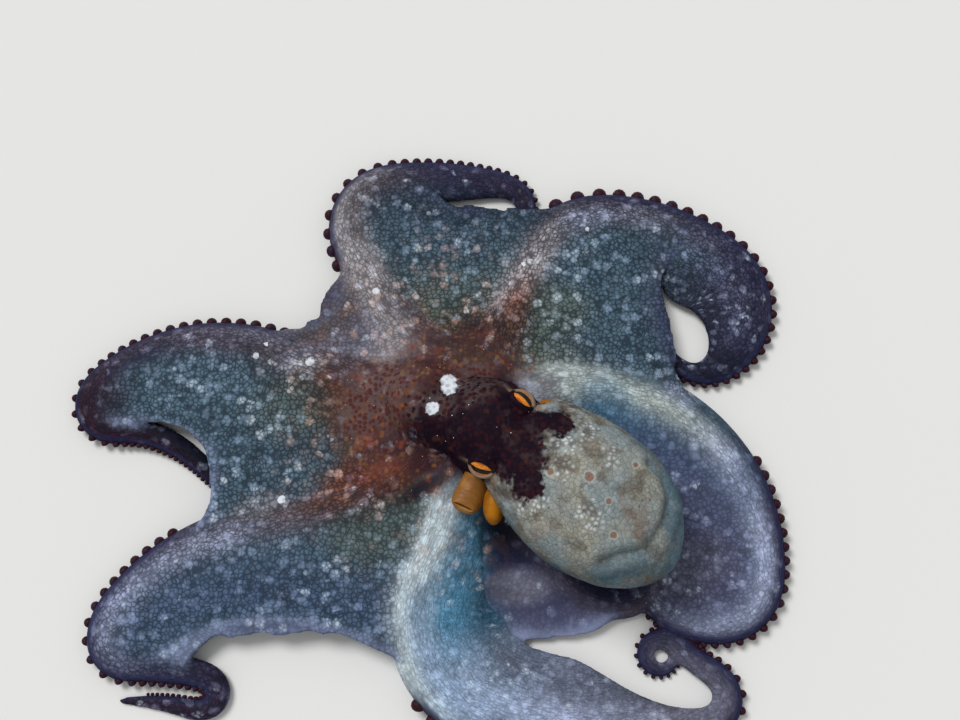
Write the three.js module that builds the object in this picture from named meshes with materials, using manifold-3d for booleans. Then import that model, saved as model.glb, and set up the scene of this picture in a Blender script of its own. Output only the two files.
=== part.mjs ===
// A common octopus lying spread on flat ground, as a still life-size model: head, mantle, two eyes and a funnel,
// eight arms that curl at their tips, and the web of skin between each two arms.
// Millimetres, +Z up. The animal faces -X and a little +Y. Its pieces are placed about the middle of the mouth, and the
// whole is then moved so that the origin is on the ground, below the middle of its bounding box.
import * as THREE from "three";
import { mergeVertices } from "three/addons/utils/BufferGeometryUtils.js";
import Module from "manifold-3d";

const wasm = await Module();
wasm.setup();

// ---------- Driving dimensions ----------

const GAP = 0.35; // clearance that parts one node from the next
const ROOT_RING = 24; // the arms start on a circle of this radius round the mouth
const BEND_EASING = 16; // length over which one bend runs into the next
const TIP_HALF_WIDTH = 1.3;
const TIP_HEIGHT = 2.6;
const WIDTH_TAPER = 0.6; // below 1, so an arm stays stout for most of its length
const HEIGHT_TAPER = 0.75;
const ROOT_RISE = 12; // how much higher an arm stands where it leaves the crown
const ROOT_RISE_LENGTH = 70;
const WIDEST_AT = 0.4; // the height of an arm's widest line, as a share of its own height
const FLAT_UNDER = 1.45; // the flat under an arm is the wider the more this is above 1
const MEMBRANE_THICKNESS = 2.4;
const SUCKER = { radius: 3.2, length: 6, proud: 2.6, stalk: 0.7, pitch: 18, to: 0.7, sides: 4 };
const ARM_SIDES = 8;
const RING_STEP = 26; // most length, and most turn in degrees, from one ring of an arm to the next
const RING_TURN = 30;

// Each arm runs out from the crown in bends of [length, turn in degrees], a left turn being positive.
// suckers is the side that they show on, +1 for the left of an arm's run, and suckersFrom is where they come out from
// under the web. The membrane is the skin on the other side: its width beyond the arm itself, the lengths along the
// arm between which it comes and goes, and how high its edge stands above the ground.
const ARMS = {
  right_1: {
    root: 108, heading: 140, suckers: 1, suckersFrom: 95, halfWidth: 19, height: 25,
    bends: [[110, -28], [52, -100], [78, -26], [30, -112], [34, -70]],
    membrane: { width: 6, from: 110, to: 250, edge: 6 },
  },
  right_2: {
    root: 58, heading: 72, suckers: 1, suckersFrom: 112, halfWidth: 19, height: 26,
    bends: [[88, -9], [52, -62], [82, -38], [90, -115], [38, -90], [34, -60]],
    membrane: { width: 34, from: 145, to: 335, edge: 8 },
  },
  right_3: {
    root: 4, heading: 30, suckers: 1, suckersFrom: 158, halfWidth: 19, height: 26,
    bends: [[110, -62], [120, -65], [42, -81], [34, -34], [26, -86], [40, -60]],
    membrane: { width: 6, from: 190, to: 330, edge: 6 },
  },
  left_3: {
    root: -90, heading: -102, suckers: -1, suckersFrom: 142, halfWidth: 19, height: 27,
    bends: [[76, -12], [102, 92], [136, 44], [32, 130], [30, -18], [48, 320], [12, 110]],
    membrane: { width: 36, from: 20, to: 320, edge: 10 },
  },
  left_2: {
    root: -132, heading: 230, suckers: -1, suckersFrom: 165, halfWidth: 19, height: 26,
    bends: [[116, -45], [104, 48], [20, 50], [16, 76], [50, -14], [26, -182], [48, 20]],
    membrane: { width: 8, from: 150, to: 250, edge: 6 },
  },
  left_1: {
    root: 170, heading: 162, suckers: -1, suckersFrom: 86, halfWidth: 18, height: 25,
    bends: [[102, -2], [112, 62], [38, 146], [16, -22], [54, -38], [32, 130]],
    membrane: { width: 6, from: 120, to: 250, edge: 6 },
  },
  right_4: {
    root: -25, heading: -12, suckers: 1, suckersFrom: 242, halfWidth: 15, height: 17,
    bends: [[72, -8], [34, -58], [36, -72], [34, -84], [32, -100], [26, -110], [12, -60]],
    membrane: { width: 0, from: 60, to: 120, edge: 6 },
  },
  left_4: {
    root: -56, heading: -60, suckers: -1, suckersFrom: 219, halfWidth: 15, height: 18,
    bends: [[90, 2], [36, 54], [30, 80], [26, 90], [22, 90], [14, 60]],
    membrane: { width: 0, from: 60, to: 120, edge: 6 },
  },
};

// The web between each two neighbouring arms reaches so far along the first and the second of them. The pulls move
// the points at the two thirds of its free edge, each by [x, y], and lift raises them. attached is the height of the
// web's edge on the two arms, as a share of the arm's height.
const WEBS = {
  right_1_right_2: { reach: [183, 137], pulls: [[14, -58], [9, 15]], lift: 2, attached: [0.78, 0.78] },
  right_2_right_3: { reach: [193, 149], pulls: [[-50, -21], [-23, 4]], lift: 3, attached: [0.78, 0.78] },
  right_3_right_4: { reach: [300, 74], pulls: [[-3, 2], [-3, 2]], lift: -2, attached: [0.78, 0.78] },
  right_4_left_4: { reach: [70, 78], pulls: [[-3, 3], [-3, 3]], lift: -2, attached: [0.78, 0.78] },
  left_4_left_3: { reach: [135, 121], pulls: [[13, -29], [15, 5]], lift: -3, attached: [0.78, 0.2] },
  left_3_left_2: { reach: [138, 290], pulls: [[-61, 56], [-32, 18]], lift: 2, attached: [0.78, 0.78] },
  left_2_left_1: { reach: [176, 262], pulls: [[72, 47], [23, 39]], lift: 5, attached: [0.78, 0.78] },
  left_1_right_1: { reach: [105, 105], pulls: [[-3, 15], [-2, -67]], lift: -3, attached: [0.78, 0.78] },
};
const WEB_THICKNESS = { root: 4, edge: 2.2 };
const WEB_LOWEST = 5; // the middle of the web's thickness stays this far above the ground
const WEB_ACROSS = 5; // facets across a web and out along it
const WEB_OUT = 4;

const BODY_HEADING = -32; // the head's own line from front to back, seen from above
const CROWN = { radius: 58, height: 44 };
const HEAD = { at: [19, -19, 41], length: 74, width: 58, height: 52 };
// The eyes look outwards and up. Each ball sits in a mound, out of which it stands a little.
const EYE = { diameter: 18, mound: 27, spacing: 33, along: 1, height: 51, tilt: 42, standsOut: 5.3 };
const MANTLE = {
  heading: -41, // from its neck to its tip
  neck: [31, -24, 49], // the middle of the neck, where the mantle starts
  length: 113,
  width: 87,
  thickness: 66,
  widestAt: 0.45, // along its length
  neckWidth: 0.72, // as a share of its full width
  bluntness: 1.9, // 2 ends it in a half ellipse, and more makes it fuller
  droop: 1, // degrees that its tip hangs below level
  rings: 9,
  sides: 18,
};
// The soft lining bulges out of the mantle's opening beside the funnel, and shows as a rim on the other side.
const LININGS = {
  left: { at: [17, -59, 34], heading: -74, length: 27, width: 12, height: 17 },
  right: { at: [47, -4, 40], heading: 8, length: 22, width: 8, height: 15 },
};
const FUNNEL = {
  base: [10, -38, 39],
  tip: [1, -63, 31],
  baseRadius: 9,
  tipRadius: 7,
  boreRadius: 4.2,
  boreDepth: 8,
  sides: 8,
};
const BODY_FACETS = [16, 10];
const EYE_FACETS = [10, 6];

// ---------- Solids ----------

const clamp01 = (x) => Math.min(Math.max(x, 0), 1);
const ease = (x) => clamp01(x) ** 2 * (3 - 2 * clamp01(x));
const mix = (a, b, share) => a + (b - a) * share;
const radians = THREE.MathUtils.degToRad;

function solidOf(geometry) {
  const bare = geometry.clone();
  bare.deleteAttribute("normal");
  bare.deleteAttribute("uv");
  const merged = mergeVertices(bare, 1e-3);
  return new wasm.Manifold(
    new wasm.Mesh({
      numProp: 3,
      vertProperties: merged.attributes.position.array,
      triVerts: new Uint32Array(merged.index.array),
    }),
  );
}

function geometryOf(solid) {
  const { numProp, vertProperties, triVerts } = solid.getMesh();
  const position = new Float32Array((vertProperties.length / numProp) * 3);
  for (let i = 0; i < position.length / 3; i++)
    position.set(vertProperties.subarray(i * numProp, i * numProp + 3), i * 3);
  return new THREE.BufferGeometry()
    .setAttribute("position", new THREE.BufferAttribute(position, 3))
    .setIndex(new THREE.BufferAttribute(triVerts, 1));
}

// Moves every vertex of a three.js shape to where place(vertex) puts it.
function reshaped(geometry, place) {
  const position = geometry.attributes.position;
  const vertex = new THREE.Vector3();
  for (let i = 0; i < position.count; i++) {
    vertex.fromBufferAttribute(position, i);
    position.setXYZ(i, ...place(vertex).toArray());
  }
  return geometry;
}

// The largest single body of a solid: what a cut leaves apart from it is a sliver.
function largest(solid) {
  return solid.decompose().sort((a, b) => b.volume() - a.volume())[0];
}

// ---------- Arms ----------

const armLength = (arm) => arm.bends.reduce((sum, [length]) => sum + length, 0);

function headingAt(arm, along) {
  const samples = [-0.5, -0.25, 0, 0.25, 0.5].map((share) => {
    let turned = 0;
    let start = 0;
    for (const [length, turn] of arm.bends) {
      turned += turn * clamp01((along + share * BEND_EASING - start) / length);
      start += length;
    }
    return turned;
  });
  return arm.heading + samples.reduce((sum, turn) => sum + turn, 0) / samples.length;
}

// The arm's middle line on the ground, one point for each millimetre.
function middleLine(arm) {
  const at = new THREE.Vector2(ROOT_RING, 0).rotateAround(new THREE.Vector2(), radians(arm.root));
  const line = [];
  for (let along = 0; along <= armLength(arm); along++) {
    line.push({ along, x: at.x, y: at.y, heading: radians(headingAt(arm, along)) });
    const onward = radians(headingAt(arm, along + 0.5));
    at.add(new THREE.Vector2(Math.cos(onward), Math.sin(onward)));
  }
  return line;
}

function sizesAt(arm, along) {
  const left = clamp01(1 - along / armLength(arm));
  const { width, from, to } = arm.membrane;
  const fade = (to - from) / 3;
  return {
    halfWidth: mix(TIP_HALF_WIDTH, arm.halfWidth, left ** WIDTH_TAPER),
    height: mix(TIP_HEIGHT, arm.height, left ** HEIGHT_TAPER) + ROOT_RISE * (1 - ease(along / ROOT_RISE_LENGTH)),
    membrane: width * ease((along - from) / fade) * ease((to - along) / fade),
  };
}

// A point on the arm's skin. angle 0 faces the suckers' side, and 90 degrees faces up.
function armPoint(arm, station, angle, grow = 0) {
  const { halfWidth, height, membrane } = sizesAt(arm, station.along);
  const across = Math.cos(angle);
  const level = Math.abs(Math.sin(angle));
  const waist = WIDEST_AT * height;
  const thin = across < 0 ? membrane / (membrane + halfWidth) : 0;
  const edge = mix(waist, arm.membrane.edge, thin);
  const top = mix(waist + (height - waist) * level, edge + (height - edge) * level ** 2.2, thin);
  const under = waist * (1 - Math.min(1, FLAT_UNDER * level));
  const membraneUnder = top - mix(MEMBRANE_THICKNESS, height, 1 - Math.abs(across));
  const bottom = Math.max(0, mix(under, membraneUnder, thin));
  const out = across * (halfWidth + (across < 0 ? membrane : 0) + grow) * arm.suckers;
  return new THREE.Vector3(
    station.x - Math.sin(station.heading) * out,
    station.y + Math.cos(station.heading) * out,
    Math.sin(angle) > 0.01 ? top + grow : Math.sin(angle) < -0.01 ? bottom - grow : edge,
  );
}

// The stations that carry a ring, closer together where the arm bends and near its tip.
function ringsOf(line, first, last) {
  const kept = [line[first]];
  for (let i = first + 1; i < last; i++) {
    const before = kept[kept.length - 1];
    const turned = Math.abs(THREE.MathUtils.radToDeg(line[i].heading - before.heading));
    if (line[i].along - before.along >= RING_STEP || turned >= RING_TURN) kept.push(line[i]);
  }
  kept.push(line[last]);
  return kept;
}

// One length of an arm, from a cylinder whose rings are moved to the arm's stations. A length that follows another
// starts a gap further on.
function armLengthSolid(arm, line, first, last, grow = 0) {
  const rings = ringsOf(line, first, last);
  const { along, x, y, heading } = rings[0];
  if (first > 0) rings[0] = { along, heading, x: x + GAP * Math.cos(heading), y: y + GAP * Math.sin(heading) };
  const cylinder = new THREE.CylinderGeometry(1, 1, 1, ARM_SIDES, rings.length - 1);
  const shape = reshaped(cylinder, (v) => {
    const station = rings[Math.round((0.5 - v.y) * (rings.length - 1))];
    const isCapCentre = v.x ** 2 + v.z ** 2 < 0.5;
    if (isCapCentre) return new THREE.Vector3(station.x, station.y, sizesAt(arm, station.along).height * WIDEST_AT);
    return armPoint(arm, station, -Math.atan2(v.x, v.z) * arm.suckers, grow);
  });
  return solidOf(shape);
}

// A sucker is a short cup that stands out from the arm's widest line.
function suckerSolid(arm, station, grow) {
  const { halfWidth, height } = sizesAt(arm, station.along);
  const radius = SUCKER.radius * (halfWidth / arm.halfWidth) ** 0.7;
  const outwards = station.heading + (Math.PI / 2) * arm.suckers;
  const cup = new THREE.CylinderGeometry(radius + grow, radius * SUCKER.stalk + grow, SUCKER.length, SUCKER.sides);
  cup.rotateZ(-Math.PI / 2);
  cup.translate(halfWidth + SUCKER.proud * (radius / SUCKER.radius) - SUCKER.length / 2, 0, 0);
  cup.rotateZ(outwards);
  cup.translate(station.x, station.y, height * WIDEST_AT);
  return solidOf(cup);
}

function suckerStations(arm, line) {
  const stations = [];
  let along = arm.suckersFrom;
  while (along < armLength(arm) * SUCKER.to) {
    stations.push(line[Math.round(along)]);
    along += SUCKER.pitch * (sizesAt(arm, along).halfWidth / arm.halfWidth) ** 0.7;
  }
  return stations;
}

// ---------- Web ----------

// The web's middle surface between two arms: across runs from the first arm to the second, and out from the crown to
// the free edge.
function webPoint(web, arms, across, out) {
  const ends = arms.map(({ arm, line }, i) => {
    const station = line[Math.round(out * web.reach[i])];
    return new THREE.Vector3(station.x, station.y, sizesAt(arm, station.along).height * web.attached[i]);
  });
  const thirds = web.pulls.map(([x, y], i) => {
    const point = ends[0].clone().lerp(ends[1], (i + 1) / 3);
    point.x += x * out ** 2;
    point.y += y * out ** 2;
    point.z = Math.max(point.z + (4 / 3) * web.lift * out, WEB_LOWEST);
    return point;
  });
  return new THREE.CubicBezierCurve3(ends[0], ...thirds, ends[1]).getPoint(across);
}

function webSolid(web, arms, grow) {
  const box = new THREE.BoxGeometry(1, 1, 1, WEB_ACROSS, WEB_OUT, 1);
  const shape = reshaped(box, (v) => {
    const out = v.y + 0.5;
    const point = webPoint(web, arms, v.x + 0.5, out);
    point.z += v.z * (mix(WEB_THICKNESS.root, WEB_THICKNESS.edge, out) + 2 * grow);
    return point;
  });
  return solidOf(shape);
}

// ---------- Head, mantle, eyes and funnel ----------

const bodyHeading = radians(BODY_HEADING);

// A point in the body's own directions: along it from the head to the tip of the mantle, to its left, and up.
function besideBody(origin, along, left, up) {
  return new THREE.Vector3(along, left, up).applyAxisAngle(new THREE.Vector3(0, 0, 1), bodyHeading).add(origin);
}

function ellipsoid(length, width, height, at, [around, above] = BODY_FACETS, heading = bodyHeading) {
  const ball = new THREE.SphereGeometry(0.5, around, above);
  ball.rotateX(Math.PI / 2);
  ball.scale(length, width, height);
  ball.rotateZ(heading);
  ball.translate(...at.toArray());
  return solidOf(ball);
}

function crownSolid(grow) {
  const width = 2 * (CROWN.radius + grow);
  return ellipsoid(width, width, 2 * (CROWN.height + grow), new THREE.Vector3());
}

const headAt = new THREE.Vector3(...HEAD.at);

// side is +1 for the animal's left. The ball stands out of its mound, along the way that the eye looks.
function eyeAt(side, outwards = 0) {
  const tilt = radians(EYE.tilt);
  const left = -side * (EYE.spacing / 2 + outwards * Math.cos(tilt));
  return besideBody(new THREE.Vector3(HEAD.at[0], HEAD.at[1], EYE.height), EYE.along, left, outwards * Math.sin(tilt));
}

function eyeSolid(side, grow) {
  const size = EYE.diameter + 2 * grow;
  return ellipsoid(size, size, size, eyeAt(side, EYE.standsOut), EYE_FACETS);
}

function headSolid(grow) {
  const mound = EYE.mound + 2 * grow;
  const mounds = [1, -1].map((side) => ellipsoid(mound, mound, mound, eyeAt(side), EYE_FACETS));
  return mounds.reduce(
    (head, other) => head.add(other),
    ellipsoid(HEAD.length + 2 * grow, HEAD.width + 2 * grow, HEAD.height + 2 * grow, headAt),
  );
}

// Half the mantle's width at a share of its length, as a share of its full half width.
function mantleProfile(share) {
  const { widestAt, neckWidth } = MANTLE;
  if (share < widestAt) return mix(neckWidth, 1, Math.sin((Math.PI / 2) * (share / widestAt)));
  return (1 - ((share - widestAt) / (1 - widestAt)) ** MANTLE.bluntness) ** (1 / MANTLE.bluntness);
}

function mantleSolid(grow) {
  const outline = [new THREE.Vector2(0, -grow)];
  for (let step = 0; step < MANTLE.rings; step++) {
    const share = Math.sin(((step / MANTLE.rings) * Math.PI) / 2);
    const along = step === 0 ? -grow : share * MANTLE.length;
    outline.push(new THREE.Vector2((mantleProfile(share) * MANTLE.width) / 2 + grow, along));
  }
  outline.push(new THREE.Vector2(0, MANTLE.length + grow));
  const egg = new THREE.LatheGeometry(outline, MANTLE.sides);
  egg.scale(1, 1, MANTLE.thickness / MANTLE.width);
  egg.rotateZ(-Math.PI / 2);
  egg.rotateY(radians(MANTLE.droop));
  egg.rotateZ(radians(MANTLE.heading));
  egg.translate(...MANTLE.neck);
  return solidOf(egg);
}

function liningSolid({ at, heading, length, width, height }, grow) {
  const middle = new THREE.Vector3(...at);
  return ellipsoid(length + 2 * grow, width + 2 * grow, height + 2 * grow, middle, EYE_FACETS, radians(heading));
}

// A tube along a straight line from base to tip, from a cylinder that stands on its base.
function taperedTube(base, tip, baseRadius, tipRadius, sides) {
  const axis = tip.clone().sub(base);
  const tube = new THREE.CylinderGeometry(tipRadius, baseRadius, axis.length(), sides);
  tube.translate(0, axis.length() / 2, 0);
  tube.applyQuaternion(new THREE.Quaternion().setFromUnitVectors(new THREE.Vector3(0, 1, 0), axis.normalize()));
  tube.translate(...base.toArray());
  return solidOf(tube);
}

function funnelSolid(grow) {
  const base = new THREE.Vector3(...FUNNEL.base);
  const tip = new THREE.Vector3(...FUNNEL.tip);
  const outwards = tip.clone().sub(base).normalize();
  const bore = taperedTube(
    tip.clone().addScaledVector(outwards, -FUNNEL.boreDepth),
    tip.clone().addScaledVector(outwards, 1),
    FUNNEL.boreRadius,
    FUNNEL.boreRadius,
    FUNNEL.sides,
  );
  const tube = taperedTube(
    base,
    tip.clone().addScaledVector(outwards, grow),
    FUNNEL.baseRadius + grow,
    FUNNEL.tipRadius + grow,
    FUNNEL.sides,
  );
  return grow > 0 ? tube : tube.subtract(bore);
}

// ---------- Putting the pieces together ----------

const skin = (color) => new THREE.MeshStandardMaterial({ color, roughness: 0.45, metalness: 0 });
const MATERIALS = {
  arm: skin(0x4a4f66),
  web: skin(0x3f5f5f),
  head: skin(0x3a2326),
  mantle: skin(0x87937f),
  funnel: skin(0xc9822b),
  eye: new THREE.MeshStandardMaterial({ color: 0xd88a1c, roughness: 0.15, metalness: 0 }),
};

const below = new THREE.BoxGeometry(2000, 2000, 200);
below.translate(0, 0, -100);
const ground = solidOf(below);

// What is left of a solid above the ground once its neighbours, each a gap larger than it is, have been taken out.
function trimmed(solid, neighbours) {
  const meets = (other) => !solid.intersect(other).isEmpty();
  return largest([...neighbours.filter(meets), ground].reduce((rest, other) => rest.subtract(other), solid));
}

const LENGTH_NAMES = ["base", "middle", "tip"];

function armPieces([name, arm]) {
  const line = middleLine(arm);
  const stops = LENGTH_NAMES.map((_, i) => Math.round(((line.length - 1) * i) / LENGTH_NAMES.length));
  const suckers = suckerStations(arm, line);
  return LENGTH_NAMES.map((lengthName, i) => {
    const first = stops[i];
    const last = stops[i + 1] ?? line.length - 1;
    const own = suckers.filter(({ along }) => along > first + SUCKER.radius && along < last - SUCKER.radius);
    return {
      name: `arm_${name}_${lengthName}`,
      material: MATERIALS.arm,
      solid: (grow) =>
        own.reduce((sum, station) => sum.add(suckerSolid(arm, station, grow)), armLengthSolid(arm, line, first, last, grow)),
    };
  });
}

function webPiece([name, web]) {
  const sides = name.match(/(left|right)_\d/g).map((armName) => {
    const arm = ARMS[armName];
    return { arm, line: middleLine(arm) };
  });
  return { name: `web_${name}`, material: MATERIALS.web, solid: (grow) => webSolid(web, sides, grow) };
}

// Each piece gives way to the ones before it.
const pieces = [
  { name: "eye_left", material: MATERIALS.eye, solid: (grow) => eyeSolid(1, grow) },
  { name: "eye_right", material: MATERIALS.eye, solid: (grow) => eyeSolid(-1, grow) },
  { name: "head", material: MATERIALS.head, solid: headSolid },
  { name: "mantle", material: MATERIALS.mantle, solid: mantleSolid },
  { name: "funnel", material: MATERIALS.funnel, solid: funnelSolid },
  { name: "lining_left", material: MATERIALS.funnel, solid: (grow) => liningSolid(LININGS.left, grow) },
  { name: "lining_right", material: MATERIALS.funnel, solid: (grow) => liningSolid(LININGS.right, grow) },
  { name: "crown", material: MATERIALS.head, solid: crownSolid },
  ...Object.entries(ARMS).flatMap(armPieces),
  ...Object.entries(WEBS).map(webPiece),
];

const group = new THREE.Group();
const neighbours = [];
for (const { name, material, solid } of pieces) {
  const mesh = new THREE.Mesh(geometryOf(trimmed(solid(0), neighbours)), material);
  mesh.name = name;
  group.add(mesh);
  neighbours.push(solid(GAP));
}

const box = new THREE.Box3().setFromObject(group);
const middle = box.getCenter(new THREE.Vector3());
group.position.set(-middle.x, -middle.y, -box.min.z);

export default group;
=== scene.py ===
"""A common octopus lying spread on the ground, dressed over its CAD frame.

One skin covers the head, the mantle, the eight arms and their web. The eyes, the funnel, the lining of the mantle's
opening and the suckers are pieces of their own. Sizes are in millimetres and are turned into metres as each mesh is
made. Places are measured from the mouth, which is under the middle of the crown.
"""

import math
import bmesh
import bpy
import numpy as np
from mathutils import Matrix, Vector, noise
from mathutils.kdtree import KDTree


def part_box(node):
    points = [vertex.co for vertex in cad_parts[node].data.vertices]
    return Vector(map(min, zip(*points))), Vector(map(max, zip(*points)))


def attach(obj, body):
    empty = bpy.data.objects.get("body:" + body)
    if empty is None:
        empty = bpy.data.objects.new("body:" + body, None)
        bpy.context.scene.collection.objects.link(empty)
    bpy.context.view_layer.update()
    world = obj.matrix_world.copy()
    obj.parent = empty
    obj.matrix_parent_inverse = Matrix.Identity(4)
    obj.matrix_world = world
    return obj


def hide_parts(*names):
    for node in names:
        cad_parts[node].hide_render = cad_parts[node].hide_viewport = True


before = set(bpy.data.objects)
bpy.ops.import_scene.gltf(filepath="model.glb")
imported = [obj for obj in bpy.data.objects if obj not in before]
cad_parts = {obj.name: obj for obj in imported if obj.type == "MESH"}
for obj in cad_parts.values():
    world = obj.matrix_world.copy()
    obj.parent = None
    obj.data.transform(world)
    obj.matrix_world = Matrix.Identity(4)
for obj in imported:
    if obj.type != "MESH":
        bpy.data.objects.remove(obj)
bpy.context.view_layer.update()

MM = 0.001
crown_low, crown_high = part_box("crown")
MOUTH = np.array([crown_low.x + crown_high.x, crown_low.y + crown_high.y, 0]) / 2

# ---------- Arms ----------
# Eight boneless arms of muscle, broad where they leave the crown and drawn out to a thread that curls up. Each is
# round on top, flat below, and widest low down, where its outer row of suckers shows. On its other side a fold of
# skin reaches into the curl.

ROOT_RING = 24
BEND_EASING = 16
TIP_HALF_WIDTH = 1.3
TIP_HEIGHT = 2.6
WIDTH_TAPER = 0.6
HEIGHT_TAPER = 0.75
ROOT_RISE = 12
ROOT_RISE_LENGTH = 70
WIDEST_AT = 0.4
FLAT_UNDER = 1.45
MEMBRANE_THICKNESS = 2.4
ARM_STEP = 2
ARM_SIDES = 32


def mix(a, b, share):
    return a + (b - a) * share


def ease(x):
    x = np.clip(x, 0, 1)
    return x * x * (3 - 2 * x)


class Arm:
    """An arm's run over the ground in bends of (length, turn), and its section at any length along it."""

    def __init__(self, root, heading, side, suckers_from, half_width, height, bends, membrane):
        self.start_heading = heading
        self.side = side  # the side that the suckers show on, +1 for the left of the run
        self.suckers_from = suckers_from
        self.half_width = half_width
        self.height = height
        self.bends = bends
        self.membrane = membrane  # its width, the lengths between which it comes and goes, and its edge's height
        self.length = sum(length for length, turn in bends)
        stations = np.arange(self.length + 1)
        onward = np.radians(self.heading_at(stations[:-1] + 0.5))
        steps = np.stack([np.cos(onward), np.sin(onward)], axis=1)
        root = np.radians(root)
        first = ROOT_RING * np.array([[np.cos(root), np.sin(root)]])
        self.line = np.vstack([first, first + np.cumsum(steps, axis=0)])

    def heading_at(self, along):
        turned = 0
        for share in (-0.5, -0.25, 0, 0.25, 0.5):
            start = 0
            for length, turn in self.bends:
                turned = turned + turn * np.clip((along + share * BEND_EASING - start) / length, 0, 1) / 5
                start += length
        return self.start_heading + turned

    def middle_at(self, along):
        stations = np.arange(self.length + 1)
        return np.stack([np.interp(along, stations, self.line[:, axis]) for axis in (0, 1)], axis=-1)

    def sizes_at(self, along):
        left = np.clip(1 - along / self.length, 0, 1)
        width, start, end, edge_height = self.membrane
        fade = (end - start) / 3
        half_width = mix(TIP_HALF_WIDTH, self.half_width, left**WIDTH_TAPER)
        height = mix(TIP_HEIGHT, self.height, left**HEIGHT_TAPER) + ROOT_RISE * (1 - ease(along / ROOT_RISE_LENGTH))
        membrane = width * ease((along - start) / fade) * ease((end - along) / fade)
        return half_width, height, membrane

    def skin_at(self, along, angle):
        """Points on the arm. angle 0 faces the suckers' side, and a quarter turn faces up."""
        half_width, height, membrane = self.sizes_at(along)
        across = np.cos(angle)
        level = np.abs(np.sin(angle))
        waist = WIDEST_AT * height
        thin = np.where(across < 0, membrane / (membrane + half_width), 0)
        edge = mix(waist, self.membrane[3], thin)
        top = mix(waist + (height - waist) * level, edge + (height - edge) * level**2.2, thin)
        under = waist * (1 - np.minimum(1, FLAT_UNDER * level))
        membrane_under = top - mix(MEMBRANE_THICKNESS, height, 1 - np.abs(across))
        bottom = np.maximum(0, mix(under, membrane_under, thin))
        out = across * (half_width + np.where(across < 0, membrane, 0)) * self.side
        heading = np.radians(self.heading_at(along))
        middle = self.middle_at(along)
        x = middle[:, 0] - np.sin(heading) * out
        y = middle[:, 1] + np.cos(heading) * out
        return np.stack([x, y, np.where(np.sin(angle) >= 0, top, bottom)], axis=1)


ARMS = {
    "right_1": Arm(
        108, 140, 1, 95, 19, 25, [(110, -28), (52, -100), (78, -26), (30, -112), (34, -70)], (6, 110, 250, 6)
    ),
    "right_2": Arm(
        58, 72, 1, 112, 19, 26, [(88, -9), (52, -62), (82, -38), (90, -115), (38, -90), (34, -60)], (34, 145, 335, 8)
    ),
    "right_3": Arm(
        4, 30, 1, 158, 19, 26, [(110, -62), (120, -65), (42, -81), (34, -34), (26, -86), (40, -60)], (6, 190, 330, 6)
    ),
    "left_3": Arm(
        -90, -102, -1, 142, 19, 27,
        [(76, -12), (102, 92), (136, 44), (32, 130), (30, -18), (48, 320), (12, 110)], (36, 20, 320, 10),
    ),
    "left_2": Arm(
        -132, 230, -1, 165, 19, 26,
        [(116, -45), (104, 48), (20, 50), (16, 76), (50, -14), (26, -182), (48, 20)], (8, 150, 250, 6),
    ),
    "left_1": Arm(
        170, 162, -1, 86, 18, 25, [(102, -2), (112, 62), (38, 146), (16, -22), (54, -38), (32, 130)], (6, 120, 250, 6)
    ),
    "right_4": Arm(
        -25, -12, 1, 242, 15, 17,
        [(72, -8), (34, -58), (36, -72), (34, -84), (32, -100), (26, -110), (12, -60)], (0, 60, 120, 6),
    ),
    "left_4": Arm(
        -56, -60, -1, 219, 15, 18, [(90, 2), (36, 54), (30, 80), (26, 90), (22, 90), (14, 60)], (0, 60, 120, 6)
    ),
}


def move_points(part, place):
    """Moves a part's points to place(points), and gives them back as they were and as they are."""
    before = np.array([vert.co for vert in part.verts])
    after = place(before)
    for vert, point in zip(part.verts, after):
        vert.co = point
    return before, after


def tube(steps, sides, place):
    """A closed tube from a grid, whose points go to place(share_along, share_around). Also the shares and points."""
    part = bmesh.new()
    bmesh.ops.create_grid(part, x_segments=steps, y_segments=sides, size=0.5)
    grid, points = move_points(part, lambda grid: place(grid[:, 0] + 0.5, grid[:, 1] + 0.5))
    shares = grid[:, :2] + 0.5
    bmesh.ops.remove_doubles(part, verts=part.verts, dist=1e-4)
    bmesh.ops.holes_fill(part, edges=part.edges, sides=0)
    bmesh.ops.recalc_face_normals(part, faces=part.faces)
    return part, shares, points


class Flesh:
    """The closed shapes that are grown together into one skin, and the spots on them that say which is nearest."""

    def __init__(self):
        self.mesh = bmesh.new()
        self.names = []
        self.spots = []  # for each point: its place, its shape's number and its two shares

    def add(self, name, part, shares, points):
        loose = bpy.data.meshes.new(name)
        part.to_mesh(loose)
        part.free()
        self.mesh.from_mesh(loose)
        bpy.data.meshes.remove(loose)
        number = np.full((len(points), 1), len(self.names))
        self.spots.append(np.hstack([points, number, shares]))
        self.names.append(name)

    def add_ball(self, name, rings, place):
        """A sphere of radius 1, moved to place(points)."""
        part = bmesh.new()
        bmesh.ops.create_uvsphere(part, u_segments=2 * rings, v_segments=rings, radius=1)
        points = move_points(part, place)[1]
        self.add(name, part, np.zeros((len(points), 2)), points)


flesh = Flesh()
for name, arm in ARMS.items():
    flesh.add(
        f"arm_{name}",
        *tube(
            arm.length // ARM_STEP,
            ARM_SIDES,
            lambda along, around: arm.skin_at(along * arm.length, around * math.tau),
        ),
    )

# ---------- Web ----------
# A thin sheet of skin and muscle between each two neighbouring arms. It leaves the arms below their crests, sags a
# little between them, and ends in a free edge drawn in towards the head.

WEB_ATTACHED_AT = 0.78
WEB_TUCKED_AT = 0.2  # where a web runs in under an arm's membrane
WEB_THICKNESS_ROOT = 4
WEB_THICKNESS_EDGE = 2.6
WEB_LOWEST = 5
WEB_STEPS = 60

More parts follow.
